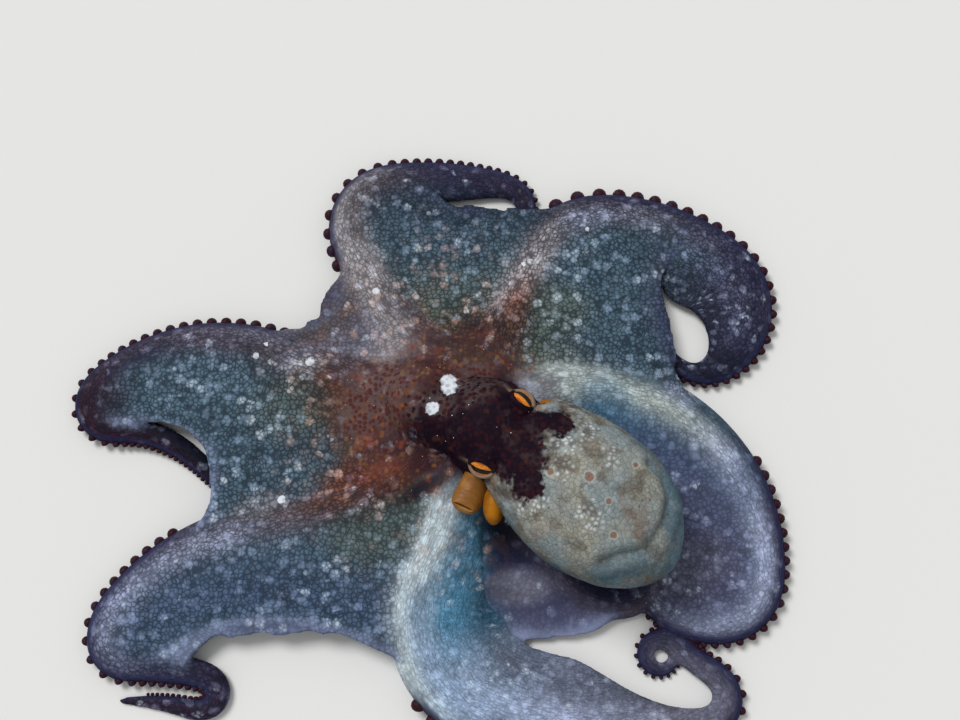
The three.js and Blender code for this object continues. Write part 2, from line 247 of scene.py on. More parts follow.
WEBS = {  # its two arms, how far it reaches along each, the pulls on the two thirds of its free edge, and its lift
    "right_1_right_2": ("right_1", "right_2", (183, 137), ((14, -58), (9, 15)), 2),
    "right_2_right_3": ("right_2", "right_3", (193, 149), ((-50, -21), (-23, 4)), 3),
    "right_3_right_4": ("right_3", "right_4", (300, 74), ((-3, 2), (-3, 2)), -2),
    "right_4_left_4": ("right_4", "left_4", (70, 78), ((-3, 3), (-3, 3)), -2),
    "left_4_left_3": ("left_4", "left_3", (135, 121), ((13, -29), (15, 5)), -3),
    "left_3_left_2": ("left_3", "left_2", (138, 290), ((-61, 56), (-32, 18)), 2),
    "left_2_left_1": ("left_2", "left_1", (176, 262), ((72, 47), (23, 39)), 5),
    "left_1_right_1": ("left_1", "right_1", (105, 105), ((-3, 15), (-2, -67)), -3),
}


def web_middle(web, across, out):
    """Points on the web's middle surface: across runs from its first arm to its second, and out from the crown."""
    first, second, reach, pulls, lift = WEBS[web]
    ends = []
    for name, length in zip((first, second), reach):
        attached = WEB_TUCKED_AT if (web, name) == ("left_4_left_3", "left_3") else WEB_ATTACHED_AT
        plan = ARMS[name].middle_at(out * length)
        ends.append(np.column_stack([plan, ARMS[name].sizes_at(out * length)[1] * attached]))
    thirds = []
    for third, pull in zip((1 / 3, 2 / 3), pulls):
        point = mix(ends[0], ends[1], third)
        point[:, :2] += np.outer(out**2, pull)
        point[:, 2] = np.maximum(point[:, 2] + 4 / 3 * lift * out, WEB_LOWEST)
        thirds.append(point)
    across = across[:, None]
    start = (1 - across) ** 3 * ends[0] + 3 * across * (1 - across) ** 2 * thirds[0]
    return start + 3 * across**2 * (1 - across) * thirds[1] + across**3 * ends[1]


def web_skin(web, out, around):
    """The web as a flat tube: the first half of the way round is its top, and the second its underside."""
    points = web_middle(web, 1 - np.abs(1 - 2 * around), out)
    thickness = mix(WEB_THICKNESS_ROOT, WEB_THICKNESS_EDGE, out)
    points[:, 2] += thickness / 2 * np.sign(0.5 - around) * (np.abs(around % 0.5 - 0.25) < 0.249)
    return points


for web in WEBS:
    flesh.add(f"web_{web}", *tube(WEB_STEPS, 2 * WEB_STEPS, lambda out, around: web_skin(web, out, around)))

# ---------- Head and mantle ----------
# The head is a low dome over the crown, with an eye in a raised mound on each side. Behind it the mantle, a bag of
# muscle that holds the organs, hangs over the hind arms. It is joined to the head on top and open round its sides.

BODY_HEADING = math.radians(-32)
CROWN = (58, 58, 44)
HEAD_AT = np.array([19, -19, 41])
HEAD = (37, 29, 26)
EYE_RADIUS = 9
EYE_MOUND = 13.5
EYE_TILTS = {"left": math.radians(40), "right": math.radians(56)}  # how far each looks up: the head is rolled a little
EYE_MOVED = {"left": (4, 0), "right": (3.5, -3.5)}  # back, and to the right, from where the solid eye is
EYE_STANDS_OUT = 5.3
BROW_AT = (-12, -4, 28)  # fills the step in front of the head
BROW = (38, 28, 25)
KNOB_AT = (37, -12, 57)  # a low bump behind the right eye
KNOB = (8, 7, 6)
MANTLE_HEADING = math.radians(-41)
MANTLE_NECK = np.array([31, -24, 49])
MANTLE_LENGTH = 113
MANTLE_WIDTH = 87
MANTLE_THICKNESS = 66
MANTLE_WIDEST_AT = 0.45
NECK_WIDTH = 0.72
NECK_THICKNESS = 0.5
BLUNTNESS = 1.9


def axes_at(heading):
    """The directions backwards along the body, to the animal's right, and up."""
    backwards, to_right = (math.cos(heading), math.sin(heading), 0), (-math.sin(heading), math.cos(heading), 0)
    return np.array([backwards, to_right, (0, 0, 1)])


BACKWARDS, TO_RIGHT, UPWARDS = axes_at(BODY_HEADING)
MANTLE_AXES = axes_at(MANTLE_HEADING)

GAZE = {
    side: math.cos(EYE_TILTS[side]) * sign * TO_RIGHT + math.sin(EYE_TILTS[side]) * UPWARDS
    for side, sign in (("left", -1), ("right", 1))
}
EYES = {}
for side in GAZE:
    low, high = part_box(f"eye_{side}")
    back, right = EYE_MOVED[side]
    EYES[side] = (np.array(low + high) / 2 - MOUTH) / MM + back * BACKWARDS + right * TO_RIGHT


def mantle_profile(share, neck):
    """Half the mantle's width or thickness at a share of its length, as a share of the full measure."""
    before = mix(neck, 1, np.sin(math.pi / 2 * np.clip(share / MANTLE_WIDEST_AT, 0, 1)))
    after = (1 - np.clip((share - MANTLE_WIDEST_AT) / (1 - MANTLE_WIDEST_AT), 0, 1) ** BLUNTNESS) ** (1 / BLUNTNESS)
    return np.where(share < MANTLE_WIDEST_AT, before, after)


def mantle_skin(share_along, share_around):
    share = np.sin(math.pi / 2 * share_along)
    angle = share_around * math.tau
    across = mantle_profile(share, NECK_WIDTH) * np.cos(angle) * MANTLE_WIDTH / 2
    up = mantle_profile(share, NECK_THICKNESS) * np.sin(angle) * MANTLE_THICKNESS / 2
    return MANTLE_NECK + np.stack([share * MANTLE_LENGTH, across, up], axis=1) @ MANTLE_AXES


def ellipsoid(middle, half_sizes):
    return lambda ball: middle + (ball * half_sizes) @ axes_at(BODY_HEADING)


flesh.add_ball("crown", 32, ellipsoid(np.zeros(3), CROWN))
flesh.add_ball("head", 40, ellipsoid(HEAD_AT, HEAD))
for side, eye in EYES.items():
    flesh.add_ball(f"mound_{side}", 24, ellipsoid(eye - EYE_STANDS_OUT * GAZE[side], (EYE_MOUND,) * 3))
flesh.add_ball("brow", 32, ellipsoid(np.array(BROW_AT), BROW))
flesh.add_ball("knob", 20, ellipsoid(np.array(KNOB_AT), KNOB))
flesh.add("mantle", *tube(60, 96, mantle_skin))

# ---------- The skin, grown together ----------
# The shapes become one closed surface. Arm is drawn smoothly into web and web into head, the web gets its slow
# waves, the mantle the fold round its tip, and each eye its lids.

VOXEL = 1.4
RELAX_ROUNDS = 8
FILLET_ROUNDS = 70
MARGIN_FROM = 0.86  # the share of a web past which its free edge is left thin
EYE_SPARED = 20  # no fillet this near to the middle of an eye
SOLE = 0.8  # what lies lower than this is the flat sole
EYE_SURROUNDS = (17, 14)  # the skin is made finer twice, this near to the middle of an eye
SHARE_OF_FACES = 0.46  # how many of its faces the finished skin keeps, most of them where it bends


def put_in_scene(name, data):
    piece = bpy.data.objects.new(name, data)
    bpy.context.scene.collection.objects.link(piece)
    return piece


def object_from(name, part):
    """A new object at the origin, from a bmesh in millimetres about the mouth."""
    mesh = bpy.data.meshes.new(name)
    part.to_mesh(mesh)
    part.free()
    place_points(mesh, np.array([vert.co for vert in mesh.vertices]))
    mesh.shade_smooth()
    return put_in_scene(name, mesh)


def points_of(mesh):
    points = np.empty(3 * len(mesh.vertices))
    mesh.vertices.foreach_get("co", points)
    return (points.reshape(-1, 3) - MOUTH) / MM


def place_points(mesh, points):
    mesh.vertices.foreach_set("co", (points * MM + MOUTH).ravel())
    mesh.update()


def normals_of(mesh):
    normals = np.empty(3 * len(mesh.vertices))
    mesh.vertex_normals.foreach_get("vector", normals)
    return normals.reshape(-1, 3)


def relaxed(values, edges, rounds):
    """Each value moved, round after round, half way to the mean of its neighbours' values."""
    count = len(values)
    ends = np.concatenate([edges[:, 0], edges[:, 1]])
    others = np.concatenate([edges[:, 1], edges[:, 0]])
    neighbours = np.maximum(np.bincount(ends, minlength=count), 1)[:, None]
    columns = values.reshape(count, -1)
    for _ in range(rounds):
        sums = [np.bincount(ends, weights=column, minlength=count) for column in columns[others].T]
        columns = mix(columns, np.stack(sums, axis=1) / neighbours, 0.5)
    return columns.reshape(values.shape)


def nearest_in(spots, points):
    tree = KDTree(len(spots))
    for number, spot in enumerate(spots):
        tree.insert(spot, number)
    tree.balance()
    return np.array([tree.find(point)[1] for point in points])


rough = object_from("rough_skin", flesh.mesh)
remesh = rough.modifiers.new("grow_together", "REMESH")
remesh.mode = "VOXEL"
remesh.voxel_size = VOXEL * MM
grown = bpy.data.meshes.new_from_object(rough.evaluated_get(bpy.context.evaluated_depsgraph_get()))
grown.name = "skin"
bpy.data.objects.remove(rough)

finer = bmesh.new()
finer.from_mesh(grown)
for surrounds in EYE_SURROUNDS:
    near_eyes = []
    for edge in finer.edges:
        middle = (np.array(edge.verts[0].co + edge.verts[1].co) / 2 - MOUTH) / MM
        if any(
            np.linalg.norm(middle - eye) < surrounds and (middle - eye) @ GAZE[side] > 0 for side, eye in EYES.items()
        ):
            near_eyes.append(edge)
    bmesh.ops.subdivide_edges(finer, edges=near_eyes, cuts=1, use_grid_fill=True)
bmesh.ops.triangulate(finer, faces=[face for face in finer.faces if len(face.verts) > 4])
finer.to_mesh(grown)
finer.free()

edges = np.empty(2 * len(grown.edges), dtype=np.int64)
grown.edges.foreach_get("vertices", edges)
edges = edges.reshape(-1, 2)
points = points_of(grown)
on_sole = points[:, 2] < SOLE
points = relaxed(points, edges, RELAX_ROUNDS)
points[on_sole, 2] = 0
points[:, 2] = np.maximum(points[:, 2], 0)
place_points(grown, points)

spots = np.vstack(flesh.spots)
near = spots[nearest_in(spots[:, :3], points)]
kinds = np.array(flesh.names)[near[:, 3].astype(int)]
is_mantle = (kinds == "mantle").astype(float)
is_head = np.isin(kinds, ["head", "mound_left", "mound_right", "knob"]).astype(float)
is_web = np.char.startswith(kinds, "web_").astype(float)
web_out = near[:, 4] * is_web

# Where each place on an arm is: how far along it, how far across, and that as a share of its half width. An arm's free
# edge is its suckers' side past the web, and all round its tip.
along_arm, across_arm, share_across, free_edge = np.zeros((4, len(points)))
is_arm = np.char.startswith(kinds, "arm_").astype(float)
for name, arm in ARMS.items():
    own = kinds == f"arm_{name}"
    along = near[own, 4] * arm.length
    heading = np.radians(arm.heading_at(along))
    onward, leftward = np.stack([np.cos(heading), np.sin(heading)]), np.stack([-np.sin(heading), np.cos(heading)])
    offset = (points[own, :2] - arm.middle_at(along)).T
    along = np.clip(along + np.clip((offset * onward).sum(axis=0), -ARM_STEP, ARM_STEP), 0, arm.length)
    across = (offset * leftward).sum(axis=0) * arm.side
    half_width = arm.sizes_at(along)[0]
    free = ease((across / half_width - 0.5) / 0.3) * ease((along - arm.suckers_from + 10) / 20)
    free_edge[own] = np.maximum(free, ease((along - arm.length * 0.6) / (arm.length * 0.15)))
    along_arm[own], across_arm[own], share_across[own] = along, across, across / half_width

# Fillets: heights are evened out, but for the arms' free sides, the margins, the mantle and the eyes.
faces_up = ease((normals_of(grown)[:, 2] + 0.1) / 0.4)
near_eye = np.max([ease((EYE_SPARED - np.linalg.norm(points - eye, axis=1)) / 6) for eye in EYES.values()], axis=0)
back_of_mantle = is_mantle * ease((((points - MANTLE_NECK) @ MANTLE_AXES.T)[:, 0] - 4) / 14)
inside_margin = 1 - ease((web_out - MARGIN_FROM) / 0.08)
filleting = relaxed(faces_up * (1 - free_edge) * inside_margin * (1 - back_of_mantle) * (1 - near_eye), edges, 6)
evened = relaxed(points, edges, FILLET_ROUNDS)
points[:, 2] = mix(points[:, 2], evened[:, 2], filleting)

# Slow waves in the web and small lumps all over.
WAVE = 34
WAVE_HEIGHT = 1.5
LUMP = 9
LUMP_HEIGHT = 0.35


def noise_at(points, size):
    return np.array([noise.noise(Vector(point) / size) for point in points])


wave = noise_at(points, WAVE) * WAVE_HEIGHT * np.maximum(is_web, 0.35) + noise_at(points, LUMP) * LUMP_HEIGHT
loose = faces_up * (1 - is_head) * (1 - near_eye) * (1 - is_mantle) * ease((points[:, 2] - 3) / 4)
points[:, 2] += wave * relaxed(loose, edges, 4)

# The fold that runs round the tip of the mantle, the swelling beside it, and the mantle's small lumps.
MANTLE_FOLD = ((75, -96), (85, -92), (99, -90), (109, -75), (113, -62), (111, -50), (103, -42))
FOLD_DEPTH = 2.2
FOLD_WIDTH = 2.2
SWELLING = 1.5
SWELLING_AT = 6
SWELLING_WIDTH = 3.4
MANTLE_LUMPS = ((16, 0.5), (6, 0.25))  # how big they are across, and how high


def distance_to_line(points, line):
    """From each place on the ground plan to the nearest of a line's stretches."""
    line = np.array(line, dtype=float)
    nearest = np.full(len(points), np.inf)
    for start, end in zip(line, line[1:]):
        run = end - start
        share = np.clip((points[:, :2] - start) @ run / (run @ run), 0, 1)
        nearest = np.minimum(nearest, np.linalg.norm(points[:, :2] - start - share[:, None] * run, axis=1))
    return nearest


place_points(grown, points)
outwards = normals_of(grown)
on_top = is_mantle * ease((outwards[:, 2] - 0.1) / 0.3)
from_fold = distance_to_line(points, MANTLE_FOLD)
fold = SWELLING * np.exp(-(((from_fold - SWELLING_AT) / SWELLING_WIDTH) ** 2))
fold = fold - FOLD_DEPTH * np.exp(-((from_fold / FOLD_WIDTH) ** 2))
lumps = sum(height * noise_at(points, size) for size, height in MANTLE_LUMPS)
points += outwards * (on_top * fold + is_mantle * lumps)[:, None]

# The lids. Each eye's opening is a slit with pointed corners. Inside it the skin dips behind the ball, and round it
# two lids stand over the ball, with a shallow furrow between them and the mound.
SLIT_TILT = math.radians(15)  # how much the back end of the slit is raised
OPENING_HALF_LENGTH = 7.6
OPENING_ABOVE = 5.2
OPENING_BELOW = 3.9
CORNERS = 1.55  # 2 is an ellipse, and less is more pointed
LID_OUT = 1.15
LID_WIDTH = 4.2
LID_SLOPE = 3.2
SOCKET_IN = 1.6
FURROWS = ((4.4, 0.9, 0.55), (7.2, 0.8, 0.35))  # round the lids: how far out, half the width, and the depth
LID_HELD = 5.4  # nearer than this the skin follows the ball, and further out it follows the mound
LID_BLEND = 2.6
EYE_REACH = 16

EYE_AXES = {}
for side, gaze in GAZE.items():
    dorsal = UPWARDS - (UPWARDS @ gaze) * gaze
    dorsal = dorsal / np.linalg.norm(dorsal)
    slit = math.cos(SLIT_TILT) * BACKWARDS + math.sin(SLIT_TILT) * dorsal
    above = math.cos(SLIT_TILT) * dorsal - math.sin(SLIT_TILT) * BACKWARDS
    EYE_AXES[side] = np.stack([slit, above, gaze])

lid_low = np.zeros(len(points))  # 1 on the pale lower lids
for side, eye in EYES.items():
    offset = points - eye
    radius = np.linalg.norm(offset, axis=1)
    towards = offset / radius[:, None] @ EYE_AXES[side].T
    along = EYE_RADIUS * np.arcsin(np.clip(towards[:, 0], -1, 1))
    above = EYE_RADIUS * np.arcsin(np.clip(towards[:, 1], -1, 1))
    reach = np.where(above > 0, OPENING_ABOVE, OPENING_BELOW)
    opening = (np.abs(along / OPENING_HALF_LENGTH) ** CORNERS + np.abs(above / reach) ** CORNERS) ** (1 / CORNERS)
    outside = (opening - 1) * reach  # about how far past the opening's edge, in millimetres
    lid = EYE_RADIUS + LID_OUT * ease((LID_WIDTH - outside) / LID_SLOPE)
    target = mix(EYE_RADIUS - SOCKET_IN, lid, ease((outside + 0.75) / 0.8))
    furrow = sum(depth * np.exp(-(((outside - far) / half) ** 2)) for far, half, depth in FURROWS)
    in_reach = (towards[:, 2] > 0.05) & (radius < EYE_REACH)
    moved = mix(radius - furrow * (outside > 0), target, ease((LID_HELD - outside) / LID_BLEND))
    radius_now = np.where(in_reach, mix(radius, moved, ease((towards[:, 2] - 0.05) / 0.3)), radius)
    points = eye + offset / radius[:, None] * radius_now[:, None]
    below = in_reach * ease(-above / 1.2) * ease((3.0 - outside) / 0.8) * ease((outside + 0.9) / 0.4)
    lid_low = np.maximum(lid_low, below)

points[:, 2] = np.maximum(points[:, 2], 0)
place_points(grown, points)
skin = put_in_scene("skin", grown)
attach(skin, "root")
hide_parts(*[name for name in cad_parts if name.startswith(("arm_", "web_"))], "head", "mantle", "crown")

# ---------- The skin's colours ----------
# An octopus paints itself with small sacs of pigment. This one's crown and head are near black, its mantle is pale
# and cobbled, the feet of its arms are rusty, and the rest is slate blue under a dark net, violet towards the tips.

TONES = {  # in white light, as red, green and blue of 255
    "ink": (20, 18, 32),
    "indigo": (38, 42, 74),
    "night": (20, 28, 38),
    "maroon": (44, 20, 32),
    "sucker": (48, 16, 24),
    "head": (22, 13, 24),
    "crown": (60, 34, 36),
    "dark_red": (62, 30, 34),
    "mesh": (108, 92, 90),
    "rust": (84, 50, 42),
    "ember": (122, 62, 40),
    "red": (74, 26, 26),
    "ochre": (142, 98, 52),
    "russet": (124, 80, 62),
    "umber": (66, 56, 50),
    "brown": (86, 78, 84),
    "pale_brown": (148, 144, 148),
    "moss": (80, 90, 82),
    "slate": (70, 90, 104),
    "deep_slate": (44, 56, 70),
    "slate_blue": (66, 82, 108),
    "teal": (76, 126, 156),
    "blue_grey": (122, 146, 160),
    "pale_blue": (138, 160, 188),
    "cream": (166, 176, 174),
    "white": (182, 196, 202),
    "lavender": (150, 160, 188),
    "lilac_grey": (106, 106, 122),
    "violet_slate": (80, 82, 108),
    "dusty_violet": (84, 78, 92),
    "violet": (50, 48, 72),
    "mantle": (142, 147, 142),
    "sand": (160, 152, 130),
    "neck": (104, 98, 94),
    # painted shade for the mantle's lower side and tip
    "mantle_shade": (72, 96, 108),
    "margin": (126, 136, 168),
    "lid": (140, 118, 98),
    # white of the patches and pale cobbles, and of the painted glints
    "speck_and_glint": (214, 220, 228),
}

# Along each arm, (place, tone): on its ridge, towards its membrane, and towards its suckers.
ARM_TONES = {
    "right_1": (
        ((0, "rust"), (45, "brown"), (95, "pale_brown"), (145, "brown"), (200, "violet"), (300, "maroon")),
        ((0, "rust"), (45, "umber"), (85, "slate"), (170, "deep_slate"), (240, "violet")),
        ((0, "brown"), (60, "pale_brown"), (125, "pale_brown"), (180, "violet")),
    ),
    "right_2": (
        ((0, "rust"), (50, "russet"), (80, "pale_brown"), (120, "lilac_grey"), (170, "lilac_grey"), (230, "violet")),
        ((0, "umber"), (50, "moss"), (100, "slate"), (180, "slate"), (240, "violet_slate"), (330, "violet")),
        ((0, "rust"), (60, "pale_brown"), (100, "brown"), (160, "violet"), (300, "violet")),
    ),
    "right_3": (
        ((0, "lavender"), (40, "cream"), (110, "cream"), (160, "lavender"), (270, "lavender"), (340, "violet")),
        ((0, "deep_slate"), (60, "teal"), (120, "slate_blue"), (220, "slate_blue"), (300, "violet_slate")),
        ((0, "brown"), (40, "cream"), (80, "slate"), (120, "slate"), (180, "violet"), (330, "violet")),
    ),
    "left_3": (
        ((0, "slate"), (50, "blue_grey"), (140, "pale_blue"), (230, "lavender"), (290, "lilac_grey"), (400, "violet")),
        ((0, "ink"), (30, "teal"), (110, "teal"), (150, "pale_blue"), (220, "lavender"), (290, "lilac_grey")),
        ((0, "white"), (60, "white"), (130, "white"), (180, "pale_blue"), (260, "violet")),
    ),
    "left_2": (
        ((0, "dark_red"), (45, "rust"), (80, "brown"), (130, "lilac_grey"), (210, "lavender"))
        + ((280, "violet"), (340, "maroon")),
        ((0, "rust"), (60, "moss"), (110, "slate"), (160, "slate_blue"), (220, "deep_slate"), (300, "violet")),
        ((0, "rust"), (70, "russet"), (120, "brown"), (200, "violet_slate"), (300, "violet")),
    ),
    # On the first left arm, the stretch from about 250 mm on turns back under the web, and its tones run to maroon and
    # ink as painted shadow.
    "left_1": (
        ((0, "dark_red"), (55, "rust"), (95, "brown"), (135, "dusty_violet"), (180, "violet"))
        + ((250, "maroon"), (290, "ink")),
        ((0, "dark_red"), (60, "rust"), (110, "brown"), (160, "slate"), (210, "violet"), (260, "ink")),
        ((0, "dark_red"), (60, "brown"), (100, "lilac_grey"), (150, "dusty_violet"), (250, "maroon")),
    ),
    "right_4": (((0, "ink"), (250, "violet")), ((0, "ink"), (120, "deep_slate")), ((0, "ink"), (120, "violet"))),
    "left_4": (((0, "ink"), (200, "violet")), ((0, "ink"), (120, "indigo")), ((0, "ink"), (90, "dusty_violet"))),
}

ARM_NET = {  # how strongly each arm's net of cells shows
    "right_1": 0.8,
    "right_2": 1,
    "right_3": 0.55,
    "left_3": 0.45,
    "left_2": 0.9,
    "left_1": 0.9,
    "right_4": 0.5,
    "left_4": 0.5,
}
WEB_SKIN = {  # tones from the crown to the free edge, how strongly the net shows, and how pale the free edge is
    "right_1_right_2": (((0, "rust"), (0.3, "moss"), (0.6, "slate"), (0.9, "deep_slate")), 1, 0.1),
    "right_2_right_3": (((0, "umber"), (0.25, "moss"), (0.5, "slate"), (0.8, "slate"), (1, "deep_slate")), 1, 0.15),
    "right_3_right_4": (((0, "deep_slate"), (0.2, "teal"), (0.45, "slate_blue"), (0.8, "violet_slate")), 0.6, 0),
    "right_4_left_4": (((0, "ink"), (1, "indigo")), 0.3, 0),
    "left_4_left_3": (((0, "ink"), (0.45, "ink"), (0.7, "indigo"), (0.85, "violet_slate")), 0.35, 1),
    "left_3_left_2": (((0, "rust"), (0.25, "moss"), (0.5, "slate"), (0.8, "slate_blue"), (1, "slate")), 0.9, 0.7),
    "left_2_left_1": (((0, "rust"), (0.3, "umber"), (0.5, "slate"), (0.9, "slate"), (1, "slate_blue")), 1, 0.7),
    "left_1_right_1": (
        ((0, "rust"), (0.35, "pale_brown"), (0.6, "lilac_grey"), (0.8, "brown"), (1, "umber")),
        0.7,
        0.25,
    ),
}

# Soft washes over that: tone, middle on the ground plan, half sizes along and across, turn in degrees, and strength.
WASHES = (
    ("moss", (-104, 0), (34, 24), 0, 0.5),
    ("moss", (-56, -80), (32, 18), 0, 0.6),
    ("moss", (58, 62), (26, 22), 0, 0.7),
    ("teal", (84, 6), (20, 14), -10, 0.5),
    ("rust", (-62, -40), (40, 16), 35, 0.8),
    ("rust", (-52, 4), (44, 26), 0, 0.7),
    ("umber", (4, 44), (22, 26), 10, 0.8),
    ("crown", (-18, -4), (52, 40), 10, 0.95),
    ("brown", (-60, 16), (24, 10), -20, 0.7),
    ("umber", (14, 40), (34, 20), 30, 0.7),
    ("red", (-32, -16), (36, 18), 5, 0.8),
    ("ink", (-36, -24), (18, 9), -8, 0.6),
    ("ember", (-58, -20), (9, 6), 0, 0.5),
    ("ember", (-54, -41), (26, 7), 14, 0.65),
    ("dark_red", (-12, -36), (28, 9), -4, 0.9),
    ("ink", (-21, -49), (26, 7), 27, 0.95),
    ("head", (-6, -16), (44, 26), -4, 0.95),
    ("lilac_grey", (33, -105), (24, 13), 0, 0.85),
    ("ink", (155, 30), (22, 16), 0, 0.75),
    ("maroon", (-226, 6), (28, 22), 0, 0.7),
    ("deep_slate", (86, 2), (16, 9), -10, 0.35),
    ("lilac_grey", (137, -93), (26, 18), 40, 0.4),
    ("pale_brown", (-120, -58), (20, 9), 20, 0.35),
    ("lavender", (-100, 30), (15, 8), 0, 0.4),
    ("dark_red", (9, 42), (18, 16), 0, 0.65),
    ("dark_red", (-67, -44), (16, 10), 20, 0.4),
    ("lavender", (78, 123), (20, 9), 10, 0.35),
    ("lavender", (129, 8), (16, 8), -35, 0.4),
    ("slate_blue", (169, -44), (12, 22), 0, 0.4),
    ("ink", (66, -44), (66, 40), -41, 0.55),
    ("white", (-18, -80), (36, 10), 67, 0.85),
    ("pale_brown", (-58, 84), (17, 9), 78, 0.75),
    ("pale_brown", (-97, 27), (16, 8), 8, 0.7),
    ("pale_brown", (-39, 50), (13, 10), 60, 0.5),
    ("pale_brown", (46, 98), (24, 8), 62, 0.55),
    ("lavender", (-141, -78), (27, 10), 25, 0.3),
)

WHITE_PATCHES = (  # middle on the ground plan, and half its width
    ((-8.8, 9.8), 4.5),
    ((-8.2, 4.8), 4.7),
    ((-18.2, -7.4), 4.0),
    ((-54.9, 73.9), 2.6),
    ((-93.3, 28.5), 2.8),
    ((-107.5, -55.2), 2.6),
    ((40.3, 92.8), 1.8),
    ((36.0, 90.8), 2.0),
    ((76.6, 114.9), 1.8),
    ((-127, 33), 2.0),
    ((-121, 40), 1.5),
)
# The head's dark, over the mantle.
DARK_LOBES = (((31, -38), 13), ((35, -54), 8), ((43, -18), 7), ((53, -20), 7), ((22, -18), 21), ((-6, -18), 22))
MESHED = (((-42, 4), 17), ((-62, -4), 12), ((6, 8), 12), ((-12, -4), 8))  # where the crown's pale mesh shows
RINGED_SPOTS = (
    (((68, -51.6), 3.4), ((47.3, -48.2), 2.6), ((80.6, -82.6), 2.4)) + (((78.1, -64.8), 2.2), ((94.1, -44.2), 2.2))
)
PALE_CLUSTERS = (((69.3, -72.3), 8), ((80.4, -40.3), 6), ((38, -64), 8), ((58, -31), 8), ((54, -47), 6), ((70, -24), 5))
WEB_BLENDING = 60  # rounds in which neighbouring tones run into each other
ARM_BLENDING = 14
MEMBRANE_SHADE = 0.45  # how light the tone is kept where an arm's membrane lies in its own shade: painted shade
RIM_FROM = 0.42  # the share of an arm's half width past which its rim turns indigo, and then maroon
MAROON_FROM = 0.8
MANTLE_SHADE_FROM = 0.9  # the share of its half height below which painted shade turns the mantle darker and bluer
NECK_REACH = 30
CROWN_RADIUS = 92
RUSTY_RADIUS = 135


def paint(tone):
    srgb = np.array(TONES[tone]) / 255
    return np.where(srgb <= 0.04045, srgb / 12.92, ((srgb + 0.055) / 1.055) ** 2.4)


def laid_over(tones, tone, share):
    """The tones with a share of another over them at each place."""
    return mix(tones, paint(tone), share[:, None])


def tone_along(stops, along):
    paints = np.array([paint(tone) for place, tone in stops])
    return np.stack([np.interp(along, [place for place, tone in stops], channel) for channel in paints.T], axis=1)


def closeness(points, marks):
    """1 in the middle of the nearest mark, 0.5 at its edge, and 0 at twice its size."""
    near = [1 - np.hypot(points[:, 0] - x, points[:, 1] - y) / (2 * size) for (x, y), size in marks]
    return np.clip(np.max(near, axis=0), 0, 1)


on_mantle = relaxed(is_mantle, edges, 3)
on_arm = ease(2 * relaxed(is_arm, edges, 4) - 1)
margins = np.zeros(len(points))
tones = np.tile(paint("crown"), (len(points), 1))
net = np.full(len(points), 0.8)
for name, arm in ARMS.items():
    own = kinds == f"arm_{name}"
    net[own] = ARM_NET[name]
    along, share = along_arm[own], share_across[own][:, None]
    ridge, inner, outer = (tone_along(stops, along) for stops in ARM_TONES[name])
    tone = mix(ridge, outer, ease((share + 0.05) / 0.6))
    tone = mix(tone, inner, ease((-share - 0.3) / 0.8))
    # Painted shade: the membrane's tone is darkened where it lies in its own shade.
    tones[own] = mix(tone, MEMBRANE_SHADE * inner, ease((-share - 1.3) / 1.2) * on_arm[own][:, None])

for web, (stops, web_net, margin) in WEB_SKIN.items():
    own = kinds == f"web_{web}"
    tones[own] = tone_along(stops, web_out[own])
    net[own] = web_net
    margins[own] = margin * ease((web_out[own] - 0.87) / 0.1)
tones = mix(relaxed(tones, edges, WEB_BLENDING), relaxed(tones, edges, ARM_BLENDING), on_arm[:, None])
for wash, (x, y), (length, width), turn, strength in WASHES:
    turn = math.radians(turn)
    along = ((points[:, 0] - x) * math.cos(turn) + (points[:, 1] - y) * math.sin(turn)) / length
    across = ((points[:, 1] - y) * math.cos(turn) - (points[:, 0] - x) * math.sin(turn)) / width
    tones = laid_over(tones, wash, strength * ease(1.5 - 1.3 * np.hypot(along, across)))

rim = on_arm * free_edge
tones = laid_over(tones, "indigo", 0.9 * ease((share_across - RIM_FROM) / 0.3) * rim)
tones = laid_over(tones, "maroon", ease((share_across - MAROON_FROM) / 0.14) * rim)
margins = relaxed(margins, edges, 2)
tones = laid_over(tones, "margin", margins)
tones = laid_over(tones, "indigo", is_web * 0.4 * ease((web_out - 0.985) / 0.015))

over_mantle = (points - MANTLE_NECK) @ MANTLE_AXES.T
height_on_mantle = over_mantle[:, 2] / (MANTLE_THICKNESS / 2)
# Painted shade: the mantle goes darker and bluer towards its lower side and its tip, where less light falls.
in_shade = ease((MANTLE_SHADE_FROM - height_on_mantle) / 0.8 + (over_mantle[:, 0] / MANTLE_LENGTH - 0.54) * 1.1)
mantle_tones = laid_over(np.tile(paint("mantle"), (len(points), 1)), "mantle_shade", in_shade)
mantle_tones = laid_over(mantle_tones, "neck", 0.75 * ease((NECK_REACH - over_mantle[:, 0]) / 22))
tones = mix(tones, mantle_tones, on_mantle[:, None])
dark = np.maximum(relaxed(is_head, edges, 24), closeness(points, DARK_LOBES) * ease((points[:, 2] - 34) / 8))
from_mouth = np.hypot(points[:, 0] + 12, points[:, 1] - 2)
from_crown = np.hypot(points[:, 0] + 12, 1.35 * (points[:, 1] + 4))
crown = ease((CROWN_RADIUS - from_crown) / 50) * (1 - on_mantle)
rusty = ease((RUSTY_RADIUS - from_mouth) / 60) * (1 - on_mantle) * ease((40 - points[:, 0]) / 30)

